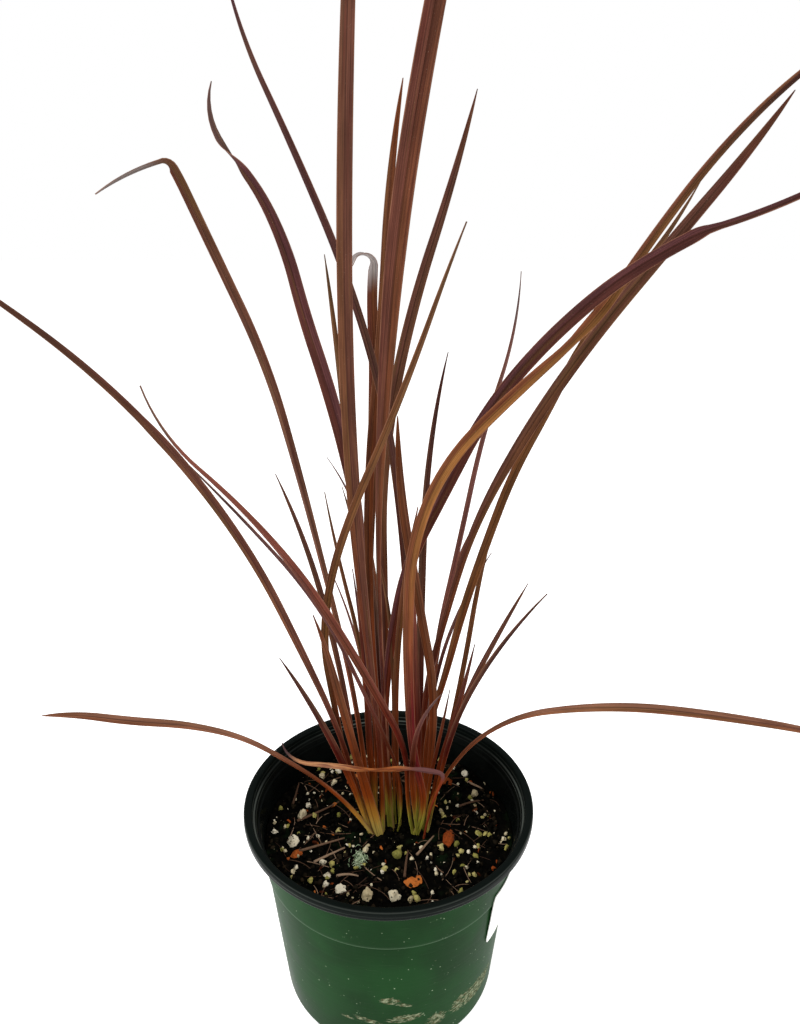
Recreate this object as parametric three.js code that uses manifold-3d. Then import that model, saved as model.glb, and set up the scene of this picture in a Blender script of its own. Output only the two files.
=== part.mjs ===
// Potted New Zealand flax with narrow maroon leaves, in a 6.5 inch azalea pot.
// Millimetres, +Z up. The origin is the middle of the pot's underside, +X is to
// the right and -Y is towards whoever looks at the front of the plant.

import * as THREE from 'three';
import { mergeVertices } from 'three/addons/utils/BufferGeometryUtils.js';
import Module from 'manifold-3d';

const wasm = await Module();
wasm.setup();

// Pot: a blown shell with a straight taper, a wider band on top that flares out under its lip
const POT_HEIGHT = 125;
const RIM_RADIUS = 82.5;
const RIM_WIDTH = 3.2;
const LIP_HEIGHT = 5.6;
const FLARE_HEIGHT = 7;
const FLARE_RADIUS = 79;
const BAND_TOP_RADIUS = 74.5;
const BAND_LOW_RADIUS = 72;
const BAND_HEIGHT = 36;
const STEP = 0.8;
const FOOT_RADIUS = 63.3;
const FOOT_ROUND = 4;
const LIP_ROUND = 1.3;
const WALL = 1.2;
const POT_SIDES = 60;
const DRAIN_HOLES = 8;
const DRAIN_RADIUS = 4.5;
const DRAIN_CIRCLE = 46;

// Potting mix: it fills the pot up to 24 mm below the rim
const SOIL = POT_HEIGHT - 24;
const FIT_GAP = 0.3;
const SOIL_RINGS = 9;
const SOIL_SIDES = 40;
const SOIL_WAVE = 0.9;
const SOIL_CRUMB = 0.7;
const GRAIN_SINK = 0.3;
const GRAIN_SEED = 7;
const HOLE_TOP = SOIL + 10;
const CHIP_THICK = 3;
const TWIG_RADIUS = 0.8;

// Shoots: each one is a fan of strap leaves that grow from one stub in the mix
const STUB_DEPTH = 22;
const STUB_RISE = 1.5;
const STUB_SIDES = 14;
const ROOT_SINK = 6;
const CROWN = [8, 5];
const CROWN_DIP = 3;
const CROWN_REACH = 17;

// Blades: a V in section, narrow, thick and folded at the root and flatter above.
// Thickness and fold are the full-grown ones from one fraction of the length on. The
// blade opens to its full width between two fractions, and tapers from another one on.
const BLADE_THICK = 0.7;
const ROOT_THICK = 2.4;
const ROOT_THICK_SHARE = 0.45;
const ROOT_FOLD = 38;
const BLADE_FOLD = 20;
const GROWN_FROM = 0.35;
const ROOT_WIDTH_SHARE = 0.55;
const OPENS = [0, 0.45];
const TAPER_FROM = 0.6;
const TAPER_POWER = 0.65;
const TIP_HALF_WIDTH = 0.4;
const SEGMENT_LENGTH = 36;
const FEWEST_SEGMENTS = 6;
const WALK_STEPS = 24;
const HOOK_SPAN = 0.05;
const HOOK_RINGS = 5;

// Blank label on the pot's right side
const LABEL_TOP = 95;
const LABEL_LOW = 58;
const LABEL_THICK = 0.5;
const LABEL_ANGLES = [-38, 4];
const LABEL_STEPS = 12;

const COLOURS = {
  pot: 0x2c5a36,
  mix: 0x14110d,
  label: 0xecebe6,
  maroon: 0x5e3226,
  purple: 0x56333a,
  olive: 0x6a4a2c,
  red: 0x8a3a28,
  dry: 0xa0724a,
};

const radians = THREE.MathUtils.degToRad;

// Fixed pseudo-random numbers, so that every build gives the same grains
function makeRandom(seed) {
  let state = seed;
  return () => {
    state = (state * 1664525 + 1013904223) % 4294967296;
    return state / 4294967296;
  };
}

// Value on a line of evenly spaced stations, at fraction t of its length
function along(stations, t) {
  const place = t * (stations.length - 1);
  const low = Math.min(Math.floor(place), stations.length - 2);
  if (low < 0) return stations[0];
  return THREE.MathUtils.lerp(stations[low], stations[low + 1], place - low);
}

function asSolid(geometry) {
  const plain = geometry.clone();
  plain.deleteAttribute('normal');
  plain.deleteAttribute('uv');
  const merged = mergeVertices(plain, 1e-4);
  return new wasm.Manifold(new wasm.Mesh({
    numProp: 3,
    vertProperties: new Float32Array(merged.attributes.position.array),
    triVerts: new Uint32Array(merged.index.array),
  }));
}

function asGeometry(solid) {
  const mesh = solid.getMesh();
  const geometry = new THREE.BufferGeometry();
  geometry.setAttribute('position', new THREE.BufferAttribute(new Float32Array(mesh.vertProperties), 3));
  geometry.setIndex(new THREE.BufferAttribute(new Uint32Array(mesh.triVerts), 1));
  geometry.computeVertexNormals();
  return geometry;
}

function geometryFrom(points, triangles) {
  const geometry = new THREE.BufferGeometry();
  const flat = points.flatMap((point) => [point.x, point.y, point.z]);
  geometry.setAttribute('position', new THREE.Float32BufferAttribute(flat, 3));
  geometry.setIndex(triangles.flat());
  return geometry;
}

function named(name, geometry, colour, roughness) {
  const material = new THREE.MeshStandardMaterial({ color: colour, roughness, metalness: 0 });
  const mesh = new THREE.Mesh(geometry, material);
  mesh.name = name;
  return mesh;
}

// A lathe shape about +Z from a profile of [radius, height] pairs
function turned(profile, sides) {
  const geometry = new THREE.LatheGeometry(profile.map(([r, z]) => new THREE.Vector2(r, z)), sides);
  geometry.rotateX(Math.PI / 2);
  return geometry;
}

// An upright prism with an oval section
function ovalPrism(x, y, low, high, radiusX, radiusY) {
  const geometry = new THREE.CylinderGeometry(1, 1, high - low, STUB_SIDES);
  geometry.rotateX(Math.PI / 2);
  geometry.scale(radiusX, radiusY, 1);
  geometry.translate(x, y, (low + high) / 2);
  return geometry;
}

// Radius of the pot's outside at a height below the flare under its lip
function potOutside(z) {
  const bandLow = POT_HEIGHT - BAND_HEIGHT;
  const flareLow = POT_HEIGHT - LIP_HEIGHT - FLARE_HEIGHT;
  if (z > bandLow) {
    return THREE.MathUtils.mapLinear(z, bandLow, flareLow, BAND_LOW_RADIUS, BAND_TOP_RADIUS);
  }
  return THREE.MathUtils.mapLinear(z, FOOT_ROUND, bandLow, FOOT_RADIUS, BAND_LOW_RADIUS - STEP);
}

function makePot() {
  const bandLow = POT_HEIGHT - BAND_HEIGHT;
  const lipLow = POT_HEIGHT - LIP_HEIGHT;
  const flareLow = lipLow - FLARE_HEIGHT;
  const profile = [
    [0, 0],
    [FOOT_RADIUS - FOOT_ROUND, 0],
    [FOOT_RADIUS - 0.3 * FOOT_ROUND, 0.3 * FOOT_ROUND],
    [FOOT_RADIUS, FOOT_ROUND],
    [potOutside(bandLow - STEP), bandLow - STEP],
    [BAND_LOW_RADIUS, bandLow],
    [BAND_TOP_RADIUS, flareLow],
    [FLARE_RADIUS, lipLow],
    [RIM_RADIUS - LIP_ROUND, lipLow],
    [RIM_RADIUS, lipLow + LIP_ROUND],
    [RIM_RADIUS, POT_HEIGHT - LIP_ROUND],
    [RIM_RADIUS - LIP_ROUND, POT_HEIGHT],
    [RIM_RADIUS - RIM_WIDTH, POT_HEIGHT],
    [RIM_RADIUS - RIM_WIDTH - LIP_ROUND, POT_HEIGHT - LIP_ROUND],
    [BAND_TOP_RADIUS - WALL, flareLow],
    [BAND_LOW_RADIUS - WALL, bandLow],
    [potOutside(bandLow - STEP) - WALL, bandLow - STEP],
    [FOOT_RADIUS - WALL, FOOT_ROUND],
    [FOOT_RADIUS - FOOT_ROUND, WALL],
    [0, WALL],
  ];
  let pot = asSolid(turned(profile, POT_SIDES));
  for (let i = 0; i < DRAIN_HOLES; i += 1) {
    const angle = (i + 0.5) * 2 * Math.PI / DRAIN_HOLES;
    const x = DRAIN_CIRCLE * Math.cos(angle);
    const y = DRAIN_CIRCLE * Math.sin(angle);
    pot = pot.subtract(asSolid(ovalPrism(x, y, -1, WALL + 1, DRAIN_RADIUS, DRAIN_RADIUS)));
  }
  return named('pot', asGeometry(pot), COLOURS.pot, 0.45);
}

// The label is bent round the pot and over the lower edge of its band
function makeLabel() {
  const inner = [
    [potOutside(LABEL_LOW) + FIT_GAP, LABEL_LOW],
    [BAND_LOW_RADIUS + FIT_GAP, POT_HEIGHT - BAND_HEIGHT],
    [potOutside(LABEL_TOP) + FIT_GAP, LABEL_TOP],
  ];
  const outer = inner.map(([r, z]) => [r + LABEL_THICK, z]);
  const outline = [...inner, ...outer.reverse()];
  const points = [];
  for (let i = 0; i <= LABEL_STEPS; i += 1) {
    const angle = radians(THREE.MathUtils.lerp(...LABEL_ANGLES, i / LABEL_STEPS));
    for (const [r, z] of outline) {
      points.push(new THREE.Vector3(r * Math.cos(angle), r * Math.sin(angle), z));
    }
  }
  const count = outline.length;
  const triangles = [];
  for (let i = 0; i < LABEL_STEPS; i += 1) {
    for (let side = 0; side < count; side += 1) {
      const a = i * count + side;
      const b = i * count + (side + 1) % count;
      triangles.push([a, b, b + count], [a, b + count, a + count]);
    }
  }
  const end = LABEL_STEPS * count;
  const cap = [[0, 5, 1], [1, 5, 4], [1, 4, 2], [2, 4, 3]];
  triangles.push(...cap);
  triangles.push(...cap.map(([a, b, c]) => [end + a, end + c, end + b]));
  return named('blank_label', geometryFrom(points, triangles), COLOURS.label, 0.5);
}

// Midline of a leaf. At even steps along the blade, lean is the angle from
// upright towards the heading and sway the angle to the left of it. A hook is
// a sharp bend: [fraction of the length, degrees of lean added, degrees of
// twist added, share of the length it takes]. Stations stand closer in a hook.
function leafPath(leaf, segments) {
  const [hookAt, hookLean, hookTwist, hookSpan = HOOK_SPAN] = leaf.hook ?? [1, 0, 0];
  const steps = segments * WALK_STEPS;
  const stride = leaf.long / steps;
  const hookSteps = Math.max(1, Math.round(hookSpan * steps / HOOK_RINGS));
  const spin = new THREE.Quaternion().setFromAxisAngle(new THREE.Vector3(0, 0, 1), radians(leaf.heading));
  const position = new THREE.Vector3(leaf.foot[0], leaf.foot[1], SOIL);
  const stations = [];
  for (let i = 0; i <= steps; i += 1) {
    const t = i / steps;
    const hooked = THREE.MathUtils.clamp((t - hookAt) / hookSpan, 0, 1);
    const lean = radians(along(leaf.lean, t) + hookLean * hooked);
    const sway = radians(along(leaf.sway, t));
    const twist = radians(along(leaf.twist, t) + hookTwist * hooked);
    const ahead = new THREE.Vector3(
      Math.sin(lean) * Math.cos(sway),
      Math.sin(sway),
      Math.cos(lean) * Math.cos(sway),
    ).applyQuaternion(spin);
    const side = new THREE.Vector3(0, 1, 0).applyQuaternion(spin);
    side.addScaledVector(ahead, -side.dot(ahead)).normalize();
    side.applyAxisAngle(ahead, twist);
    const inHook = hooked > 0 && hooked < 1;
    const every = inHook ? hookSteps : WALK_STEPS;
    if (i % every === 0) stations.push({ t, at: position.clone(), ahead, side });
    position.addScaledVector(ahead, stride);
  }
  const centre = leaf.centre ?? leaf.foot;
  const rootX = (leaf.foot[0] + centre[0]) / 2;
  const rootY = (leaf.foot[1] + centre[1]) / 2;
  const root = new THREE.Vector3(rootX, rootY, SOIL - ROOT_SINK);
  stations.unshift({ ...stations[0], at: root });
  return stations;
}

// One blade: rings of six points, the keel and edges of the outer face and
// then those of the inner face. Both faces are split into triangles alike.
function bladeSolid(leaf) {
  const segments = Math.max(FEWEST_SEGMENTS, Math.round(leaf.long / SEGMENT_LENGTH));
  const stations = leafPath(leaf, segments);
  const [opensFrom, openBy] = leaf.opens ?? OPENS;
  const taperFrom = leaf.taper ?? TAPER_FROM;
  const rootThick = Math.min(ROOT_THICK, leaf.width * ROOT_THICK_SHARE);
  const points = [];
  for (const { t, at, ahead, side } of stations) {
    const face = new THREE.Vector3().crossVectors(ahead, side);
    const grown = THREE.MathUtils.smoothstep(t, 0, GROWN_FROM);
    const opened = THREE.MathUtils.smoothstep(t, opensFrom, openBy);
    const tapered = THREE.MathUtils.clamp((t - taperFrom) / (1 - taperFrom), 0, 1);
    const rootShare = leaf.root ?? ROOT_WIDTH_SHARE;
    const share = THREE.MathUtils.lerp(rootShare, 1, opened) * (1 - tapered ** 2) ** TAPER_POWER;
    const half = Math.max(TIP_HALF_WIDTH, leaf.width / 2 * share);
    const thick = THREE.MathUtils.lerp(rootThick, BLADE_THICK, grown);
    const fold = radians(THREE.MathUtils.lerp(ROOT_FOLD, BLADE_FOLD, grown));
    const across = half * Math.cos(fold);
    const rise = half * Math.sin(fold);
    const section = [
      [-across, rise],
      [0, 0],
      [across, rise],
      [across, rise + thick],
      [0, thick],
      [-across, rise + thick],
    ];
    for (const [u, v] of section) {
      points.push(at.clone().addScaledVector(side, u).addScaledVector(face, v - (rise + thick) / 2));
    }
  }
  const triangles = [];
  for (let i = 0; i < stations.length - 1; i += 1) {
    for (let corner = 0; corner < 6; corner += 1) {
      const a = i * 6 + corner;
      const b = i * 6 + (corner + 1) % 6;
      const onRightHalf = corner === 1 || corner === 4;
      if (onRightHalf) triangles.push([a, b, a + 6], [b, b + 6, a + 6]);
      else triangles.push([a, b, b + 6], [a, b + 6, a + 6]);
    }
  }
  const end = (stations.length - 1) * 6;
  const cap = [[0, 5, 4], [0, 4, 1], [1, 4, 3], [1, 3, 2]];
  triangles.push(...cap);
  triangles.push(...cap.map(([a, b, c]) => [end + a, end + c, end + b]));
  return asSolid(geometryFrom(points, triangles));
}

// Leaves of each shoot. A leaf's foot is where it leaves the mix, long runs
// along the blade and width is across it along both halves of the V. Root is
// the share of that width at the foot, which opens to all of it between two
// fractions of the length. Headings turn left from +X. Lean, sway and twist are
// degrees at even steps from root to tip; at a twist of 90 the flat of the
// blade is seen from the front.
const SHOOTS = [
  {
    name: 'shoot_front_left', centre: [-7.4, -2.6], radii: [5.4, 4.2], colour: COLOURS.maroon,
    leaves: [
      {
        foot: [-3.7, -2], long: 515, width: 7.2, heading: 180, root: 0.5, opens: [0.1, 0.45],
        lean: [-1, 5, 4, 1, -2, -4, -24], sway: [3, 2, 6], twist: [55, 75, 92, 88, 80],
      },
      {
        foot: [-10, -3], long: 385, width: 4.6, heading: 180, hook: [0.67, 0, 50],
        lean: [12, 12, 18, 19, 27, 36, 47, 53], sway: [6, 8, 9], twist: [60, 80, 100, 100],
      },
      {
        foot: [-11.5, -1.5], long: 350, width: 4.2, heading: 0, taper: 0.55,
        lean: [-17, -10, -7, -6, 8, 18, 23, 21, 19, 21], sway: [-6, -5, -6], twist: [70, 95, 120],
      },
      {
        foot: [-11.5, -3], long: 140, width: 4.2, heading: 180, taper: 0.3,
        lean: [10, 18, 25], sway: [10, 9, 10], twist: [80, 110],
      },
      {
        foot: [-6, -4.4], long: 160, width: 4.8, heading: 180, root: 1.6, opens: [0.05, 0.4], taper: 0.5,
        lean: [10, 11, 10, 10, 10, 16], sway: [8, 8, 8], twist: [80, 100, 70],
      },
      {
        foot: [-10, -4.6], long: 205, width: 4.6, heading: 186, root: 0.8, opens: [0.5, 0.78], taper: 0.8,
        lean: [27, 36, 47, 51, 69, 80, 75, 90], sway: [2, 2], twist: [60, 40, 55],
      },
    ],
  },
  {
    name: 'shoot_left', centre: [-9.2, 8], radii: [4, 5.3], colour: COLOURS.purple,
    leaves: [
      {
        foot: [-9, 6], long: 425, width: 5.6, heading: 180,
        root: 0.6, opens: [0.3, 0.72], taper: 0.86, hook: [0.885, 71, -65, 0.018],
        lean: [7, 7, 12, 13, 15, 25, 25, 49], sway: [-3, -9, -12], twist: [65, 80, 85, 80],
      },
      {
        foot: [-8, 8], long: 415, width: 7.8, heading: 180,
        root: 0.5, opens: [0.2, 0.6], hook: [0.885, -2, -150, 0.05],
        lean: [2, 4, 2, 3, 1, 2, 11, 15, 18, 14, 26, 45, -18], sway: [-3, -8, -11],
        twist: [100, 90, 85, 90, 100, 95, 90, 90, 85],
      },
      {
        foot: [-11, 4], long: 225, width: 3.4, heading: 180,
        lean: [10, 7, 11, 20], sway: [-2, 2, 6], twist: [70, 105],
      },
      {
        foot: [-8, 6], long: 200, width: 2.6, heading: 180,
        lean: [7, 1, 14, 10], sway: [-8, -11, -11], twist: [110, 70],
      },
      {
        foot: [-7.5, 11], long: 200, width: 3, heading: 180,
        lean: [-1, 3, 5, 18], sway: [-4, -14, -14], twist: [60, 100],
      },
      {
        foot: [-7, 9], long: 150, width: 3.4, heading: 180, taper: 0.3,
        lean: [6, 4, 9], sway: [-10, -22, -16], twist: [95, 60],
      },
      {
        foot: [-9, 11], long: 150, width: 1.8, heading: 180,
        lean: [8, 1, 17, 28], sway: [-24, -30, -22], twist: [60, 80],
      },
    ],
  },
  {
    name: 'shoot_centre', centre: [3.5, 1.5], radii: [5, 4], colour: COLOURS.maroon,
    leaves: [
      {
        foot: [2, 1], long: 525, width: 9.9, heading: 0,
        root: 0.33, opens: [0.3, 0.64], taper: 0.62,
        lean: [-4, -2, -1, 3, 5, 10, 13, 20], sway: [-1, -7, -7], twist: [40, 38, 50, 65, 75, 80],
      },
      {
        foot: [0.5, 1.5], long: 470, width: 7, heading: 0, hook: [0.8, 15, -65, 0.02],
        lean: [-2, -3, 5, 11, 24, 23, 34, 43, 58, 45, 75], sway: [10, 3, -10, -26, -12],
        twist: [70, 90, 80, 85, 85],
      },
      {
        foot: [5.5, -1], long: 265, width: 2.4, heading: 180,
        lean: [-9, 18, 20, 36, 41], sway: [9, 6, 2], twist: [90, 70],
      },
      {
        foot: [6.5, 3], long: 200, width: 3.6, heading: 0,
        lean: [-3, -1, 5, 11], sway: [-1, 1, 3], twist: [60, 110],
      },
      {
        foot: [4, 4], long: 170, width: 2.6, heading: 180,
        lean: [3, -1, 3, 14], sway: [-3, -7, -9], twist: [110, 80],
      },
    ],
  },
  {
    name: 'shoot_back', centre: [0.3, 14], radii: [4.4, 4], colour: COLOURS.purple,
    leaves: [
      {
        foot: [2, 12], long: 415, width: 6.8, heading: 0,
        root: 0.42, opens: [0.15, 0.62], taper: 0.58,
        lean: [-5, 0, -2, 11, 19, 15], sway: [9, 13, 16], twist: [110, 80, 95],
      },
      {
        foot: [-1, 13], long: 410, width: 5.6, heading: 0, taper: 0.75,
        lean: [-5, -5, 0, 6, 3, 10], sway: [13, 12, 6], twist: [60, 95, 110],
      },
      {
        foot: [-2, 13], long: 342, width: 6.2, heading: 180, taper: 0.94, hook: [0.93, 177, -95],
        lean: [4, 8, 5, 4, 2, -1, -3, -3, -1, -1, 3, -3, -24], sway: [-13, -14, -13],
        twist: [75, 90, 90, 90, 90, 90, 50],
      },
      {
        foot: [-2.5, 14], long: 335, width: 4.2, heading: 180, taper: 0.7,
        lean: [6, 5, 8, 6, 8], sway: [-18, -24, -12], twist: [95, 60, 90],
      },
      {
        foot: [-1.5, 16], long: 220, width: 2.2, heading: 180,
        lean: [4, 3, 8, 39], sway: [-15, -29, -18], twist: [60, 100],
      },
      {
        foot: [0.5, 12], long: 165, width: 5.4, heading: 180, taper: 0.3,
        lean: [3, 5, 6], sway: [-17, -18, -23], twist: [110, 80],
      },
      {
        foot: [0, 16], long: 235, width: 4, heading: 95,
        lean: [14, 28, 52, 84, 98], sway: [0, 4], twist: [10, -15],
      },
    ],
  },
  {
    name: 'shoot_front', centre: [15.7, -4], radii: [3.3, 3.1], colour: COLOURS.red,
    leaves: [
      {
        foot: [16, -4], long: 515, width: 5.8, heading: 0,
        root: 0.8, opens: [0, 0.3], hook: [0.61, 0, 70],
        lean: [16, -12, -3, -1, 2, 20, 44, 49, 33, 37, 46, 57, 78], sway: [-10, -3, 8, 12],
        twist: [90, 95, 100, 95, 90, 75, 25, 45, 50, 50, 50],
      },
      {
        foot: [14, -3], long: 305, width: 4.6, heading: 180,
        lean: [9, 0, 22, 23, 26, 34, 42, 12], sway: [8, 10, 6], twist: [70, 100, 95, 60, 45],
      },
      {
        foot: [16.5, -5], long: 120, width: 3.5, heading: 0, taper: 0.3,
        lean: [-6, -3, 6, 34], sway: [-9, -15, -13], twist: [110, 80],
      },
    ],
  },
  {
    name: 'shoot_back_right', centre: [17.6, 8.5], radii: [4, 4.6], colour: COLOURS.olive,
    leaves: [
      {
        foot: [15.5, 8], long: 490, width: 4.6, heading: 180,
        lean: [4, 1, 3, 8, 17, 24, 26, 10], sway: [-9, -13, -14], twist: [80, 100, 60],
      },
      {
        foot: [18.5, 6.5], long: 435, width: 7, heading: 0, opens: [0.35, 0.64], taper: 0.74,
        lean: [7, -3, 13, 15, 27, 33, 38, 39, 34], sway: [2, 3, 4], twist: [60, 75, 100, 80],
      },
      {
        foot: [19.5, 10], long: 330, width: 3.4, heading: 0, taper: 0.5,
        lean: [4, 4, 14, 13, 20, 3], sway: [14, 21, 22], twist: [100, 60],
      },
      {
        foot: [18, 6], long: 275, width: 4.8, heading: 0, taper: 0.4,
        lean: [0, 0, 3, 14], sway: [7, 16, 18], twist: [120, 70],
      },
      {
        foot: [17, 6], long: 165, width: 5.2, heading: 180, taper: 0.3,
        lean: [0, 2, 2], sway: [-1, -8, -9], twist: [75, 100],
      },
      {
        foot: [19, 11.5], long: 165, width: 2.4, heading: 0,
        lean: [7, 5, 24, 35], sway: [14, 28, 16], twist: [60, 90],
      },
      {
        foot: [18, 12], long: 210, width: 3.6, heading: 75,
        lean: [12, 22, 40, 70, 92], sway: [0, -3], twist: [15, -10],
      },
    ],
  },
  {
    name: 'shoot_right', centre: [21.6, 0.3], radii: [3, 3.6], colour: COLOURS.purple,
    leaves: [
      {
        foot: [21, 2.5], long: 395, width: 5, heading: 0,
        lean: [2, -2, 16, 13, 18, 20, 29, 27, 42, 38, 31], sway: [0, 12, 17], twist: [100, 75, 90],
      },
      {
        foot: [22.6, -1.4], long: 290, width: 5.4, heading: 352, root: 0.42, opens: [0.2, 0.62],
        lean: [-3, 23, 32, 53, 76, 83, 91, 94, 96, 101, 103], sway: [0, 0], twist: [80, 50, 35, 50],
      },
      {
        foot: [20.5, 1.5], long: 250, width: 5, heading: 180, taper: 0.75,
        lean: [-4, -3, 10, 9, 0], sway: [3, 2, -4], twist: [60, 110],
      },
      {
        foot: [22.5, 2.4], long: 190, width: 3.2, heading: 0,
        lean: [13, 12, 9, 17], sway: [11, 13, 17], twist: [110, 70],
      },
      {
        foot: [23.4, -0.4], long: 185, width: 2.8, heading: 0,
        lean: [7, 9, 22, 33], sway: [-6, -12, -14], twist: [75, 100],
      },
      {
        foot: [23.5, 1], long: 160, width: 3.3, heading: 0,
        lean: [9, 14, 26, 30], sway: [7, 7, 11], twist: [100, 70],
      },
      {
        foot: [22.2, 0.6], long: 120, width: 4, heading: 0, taper: 0.3,
        lean: [7, 15, 12], sway: [1, 6, 8], twist: [60, 90],
      },
      {
        foot: [21, 0.5], long: 105, width: 2.4, heading: 0, taper: 0.3,
        lean: [1, 9, 7], sway: [-5, -8, -7], twist: [120, 90],
      },
    ],
  },
];

// The dry leaf stands in a hole of its own and is bent sharply to the left
const WITHERED_LEAF = {
  foot: [20.4, -7.8], long: 150, width: 3.4, heading: 180,
  root: 0.45, opens: [0.33, 0.42], hook: [0.35, 92, 0],
  lean: [-5, -8, -15, -19, 2, -13, -6, -86], sway: [15, 12, 4, 0, -2],
  twist: [80, 80, 80, 80, 85, 60, 115, 85, 110, 100, 70],
};
const WITHERED_HOLE_RADIUS = 2.2;

// Larger perlite grains and fertiliser prills on the mix: [x, y, size]
const GRAINS = [
  [3, -51, 7.4], [-11, -50, 6.3], [-25, -47, 6.4], [12, -52, 4.2], [24, -49, 3.4], [-33, -44, 3.8],
  [-33, -37, 4.9], [-52, -34, 3.4], [-36, -28, 4.4], [-31, -29, 4.6], [-54, -13, 7.4], [-52, 7, 7.7],
  [-49, 17, 4.2], [-43, 43, 5.1], [-33, 48, 5.1], [-35, 38, 3.8], [-13, -19, 5.1], [5, -21, 5.6],
  [-2, -31, 3.9], [22, -25, 3.4], [26, -32, 2.9], [41, -31, 3.4], [39, -13, 4], [30, -17, 3.4],
  [41, -19, 3.4], [53, -6, 3.5], [52, 12, 3], [52, 26, 6.2], [48, 45, 5.1], [41, 51, 3],
  [66, -11, 3.4], [-66, -5, 3.4], [10, 52, 5], [-12, 58, 4.2], [28, 60, 4.8],
];

// Bark chips: [x, y, length, width, turn in degrees]
const CHIPS = [
  [14, -40, 12, 6, 8],
  [34, -7, 11, 7, 80],
  [-52, -21, 8, 5, 30],
  [35, 38, 12, 7, -30],
  [-20, 44, 10, 6, 60],
];

// Twigs and needles that lie half sunk in the mix: [x, y, length, turn]
const TWIGS = [
  [-38, -14, 27, 22],
  [-33, -22, 20, 36],
  [-42, 12, 30, 36],
  [21, -15, 18, 56],
  [10, -28, 19, 84],
  [-22, -38, 12, 3],
  [54, 34, 12, -38],
  [50, 19, 16, 16],
  [-58, 28, 20, 86],
  [4, 40, 22, -20],
];

function insidePot(z) {
  return potOutside(z) - WALL - FIT_GAP;
}

// Height of the mix's uneven top, which dips a little round the crown
function soilTop(x, y) {
  const wave = Math.sin(x * 0.09 + 1) * Math.cos(y * 0.07) + 0.5 * Math.sin(x * 0.21 - y * 0.17);
  const fromCrown = Math.hypot(x - CROWN[0], y - CROWN[1]) / CROWN_REACH;
  return SOIL + SOIL_WAVE * wave - CROWN_DIP * Math.exp(-(fromCrown ** 4));
}

// The mix without its grains: an uneven top on a body that follows the pot
function soilBody(random) {
  const bandLow = POT_HEIGHT - BAND_HEIGHT;
  const sideRings = [
    [insidePot(SOIL), SOIL - 2 * SOIL_WAVE],
    [BAND_LOW_RADIUS - WALL - FIT_GAP, bandLow],
    [insidePot(bandLow - STEP), bandLow - STEP],
    [FOOT_RADIUS - WALL - FIT_GAP, FOOT_ROUND],
    [FOOT_RADIUS - FOOT_ROUND - FIT_GAP, WALL + FIT_GAP],
  ];
  const points = [new THREE.Vector3(0, 0, soilTop(0, 0))];
  const rings = SOIL_RINGS + sideRings.length;
  for (let ring = 1; ring <= rings; ring += 1) {
    for (let i = 0; i < SOIL_SIDES; i += 1) {
      const angle = (i + 0.5 * (ring % 2)) * 2 * Math.PI / SOIL_SIDES;
      const onTop = ring <= SOIL_RINGS;
      const radius = onTop ? insidePot(SOIL) * (ring / SOIL_RINGS) : sideRings[ring - SOIL_RINGS - 1][0];
      const x = radius * Math.cos(angle);
      const y = radius * Math.sin(angle);
      const top = soilTop(x, y) + SOIL_CRUMB * (random() - 0.5) * 2;
      points.push(new THREE.Vector3(x, y, onTop ? top : sideRings[ring - SOIL_RINGS - 1][1]));
    }
  }
  points.push(new THREE.Vector3(0, 0, WALL + FIT_GAP));
  const last = points.length - 1;
  const triangles = [];
  for (let i = 0; i < SOIL_SIDES; i += 1) {
    const next = (i + 1) % SOIL_SIDES;
    triangles.push([0, 1 + i, 1 + next]);
    triangles.push([last, last - SOIL_SIDES + next, last - SOIL_SIDES + i]);
    for (let ring = 0; ring < rings - 1; ring += 1) {
      const inner = 1 + ring * SOIL_SIDES;
      const outer = inner + SOIL_SIDES;
      if (ring % 2 === 0) {
        triangles.push([inner + i, outer + i, outer + next], [inner + i, outer + next, inner + next]);
      } else {
        triangles.push([inner + i, outer + i, inner + next], [inner + next, outer + i, outer + next]);
      }
    }
  }
  return asSolid(geometryFrom(points, triangles));
}

function grainSolid([x, y, size], random) {
  const geometry = new THREE.IcosahedronGeometry(size / 2, 0);
  geometry.scale(0.85 + 0.3 * random(), 0.75 + 0.3 * random(), 0.65 + 0.3 * random());
  geometry.rotateX(random() * Math.PI);
  geometry.rotateZ(random() * Math.PI);
  geometry.translate(x, y, soilTop(x, y) + size * (0.5 - GRAIN_SINK));
  return asSolid(geometry);
}

function chipSolid([x, y, long, wide, turn], random) {
  const geometry = new THREE.BoxGeometry(long, wide, CHIP_THICK);
  geometry.rotateX(radians(20 * (random() - 0.5)));
  geometry.rotateZ(radians(turn));
  geometry.translate(x, y, soilTop(x, y) + CHIP_THICK / 4);
  return asSolid(geometry);
}

function twigSolid([x, y, long, turn]) {
  const geometry = new THREE.CylinderGeometry(TWIG_RADIUS * 0.6, TWIG_RADIUS, long, 5);
  geometry.rotateZ(Math.PI / 2);
  geometry.rotateZ(radians(turn));
  geometry.translate(x, y, soilTop(x, y) + TWIG_RADIUS);
  return asSolid(geometry);
}

// The mix with its grains, and a plain hole round each shoot's stub
function makeMix() {
  const random = makeRandom(GRAIN_SEED);
  let mix = soilBody(random);
  for (const grain of GRAINS) mix = mix.add(grainSolid(grain, random));
  for (const chip of CHIPS) mix = mix.add(chipSolid(chip, random));
  for (const twig of TWIGS) mix = mix.add(twigSolid(twig));
  for (const shoot of SHOOTS) {
    mix = mix.subtract(stubSolid(shoot, FIT_GAP, SOIL - STUB_DEPTH - FIT_GAP, HOLE_TOP));
  }
  const [x, y] = WITHERED_LEAF.foot;
  const holeLow = SOIL - ROOT_SINK - FIT_GAP;
  const hole = ovalPrism(x, y, holeLow, HOLE_TOP, WITHERED_HOLE_RADIUS, WITHERED_HOLE_RADIUS);
  return named('potting_mix', asGeometry(filled(mix.subtract(asSolid(hole)))), COLOURS.mix, 0.95);
}

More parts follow.
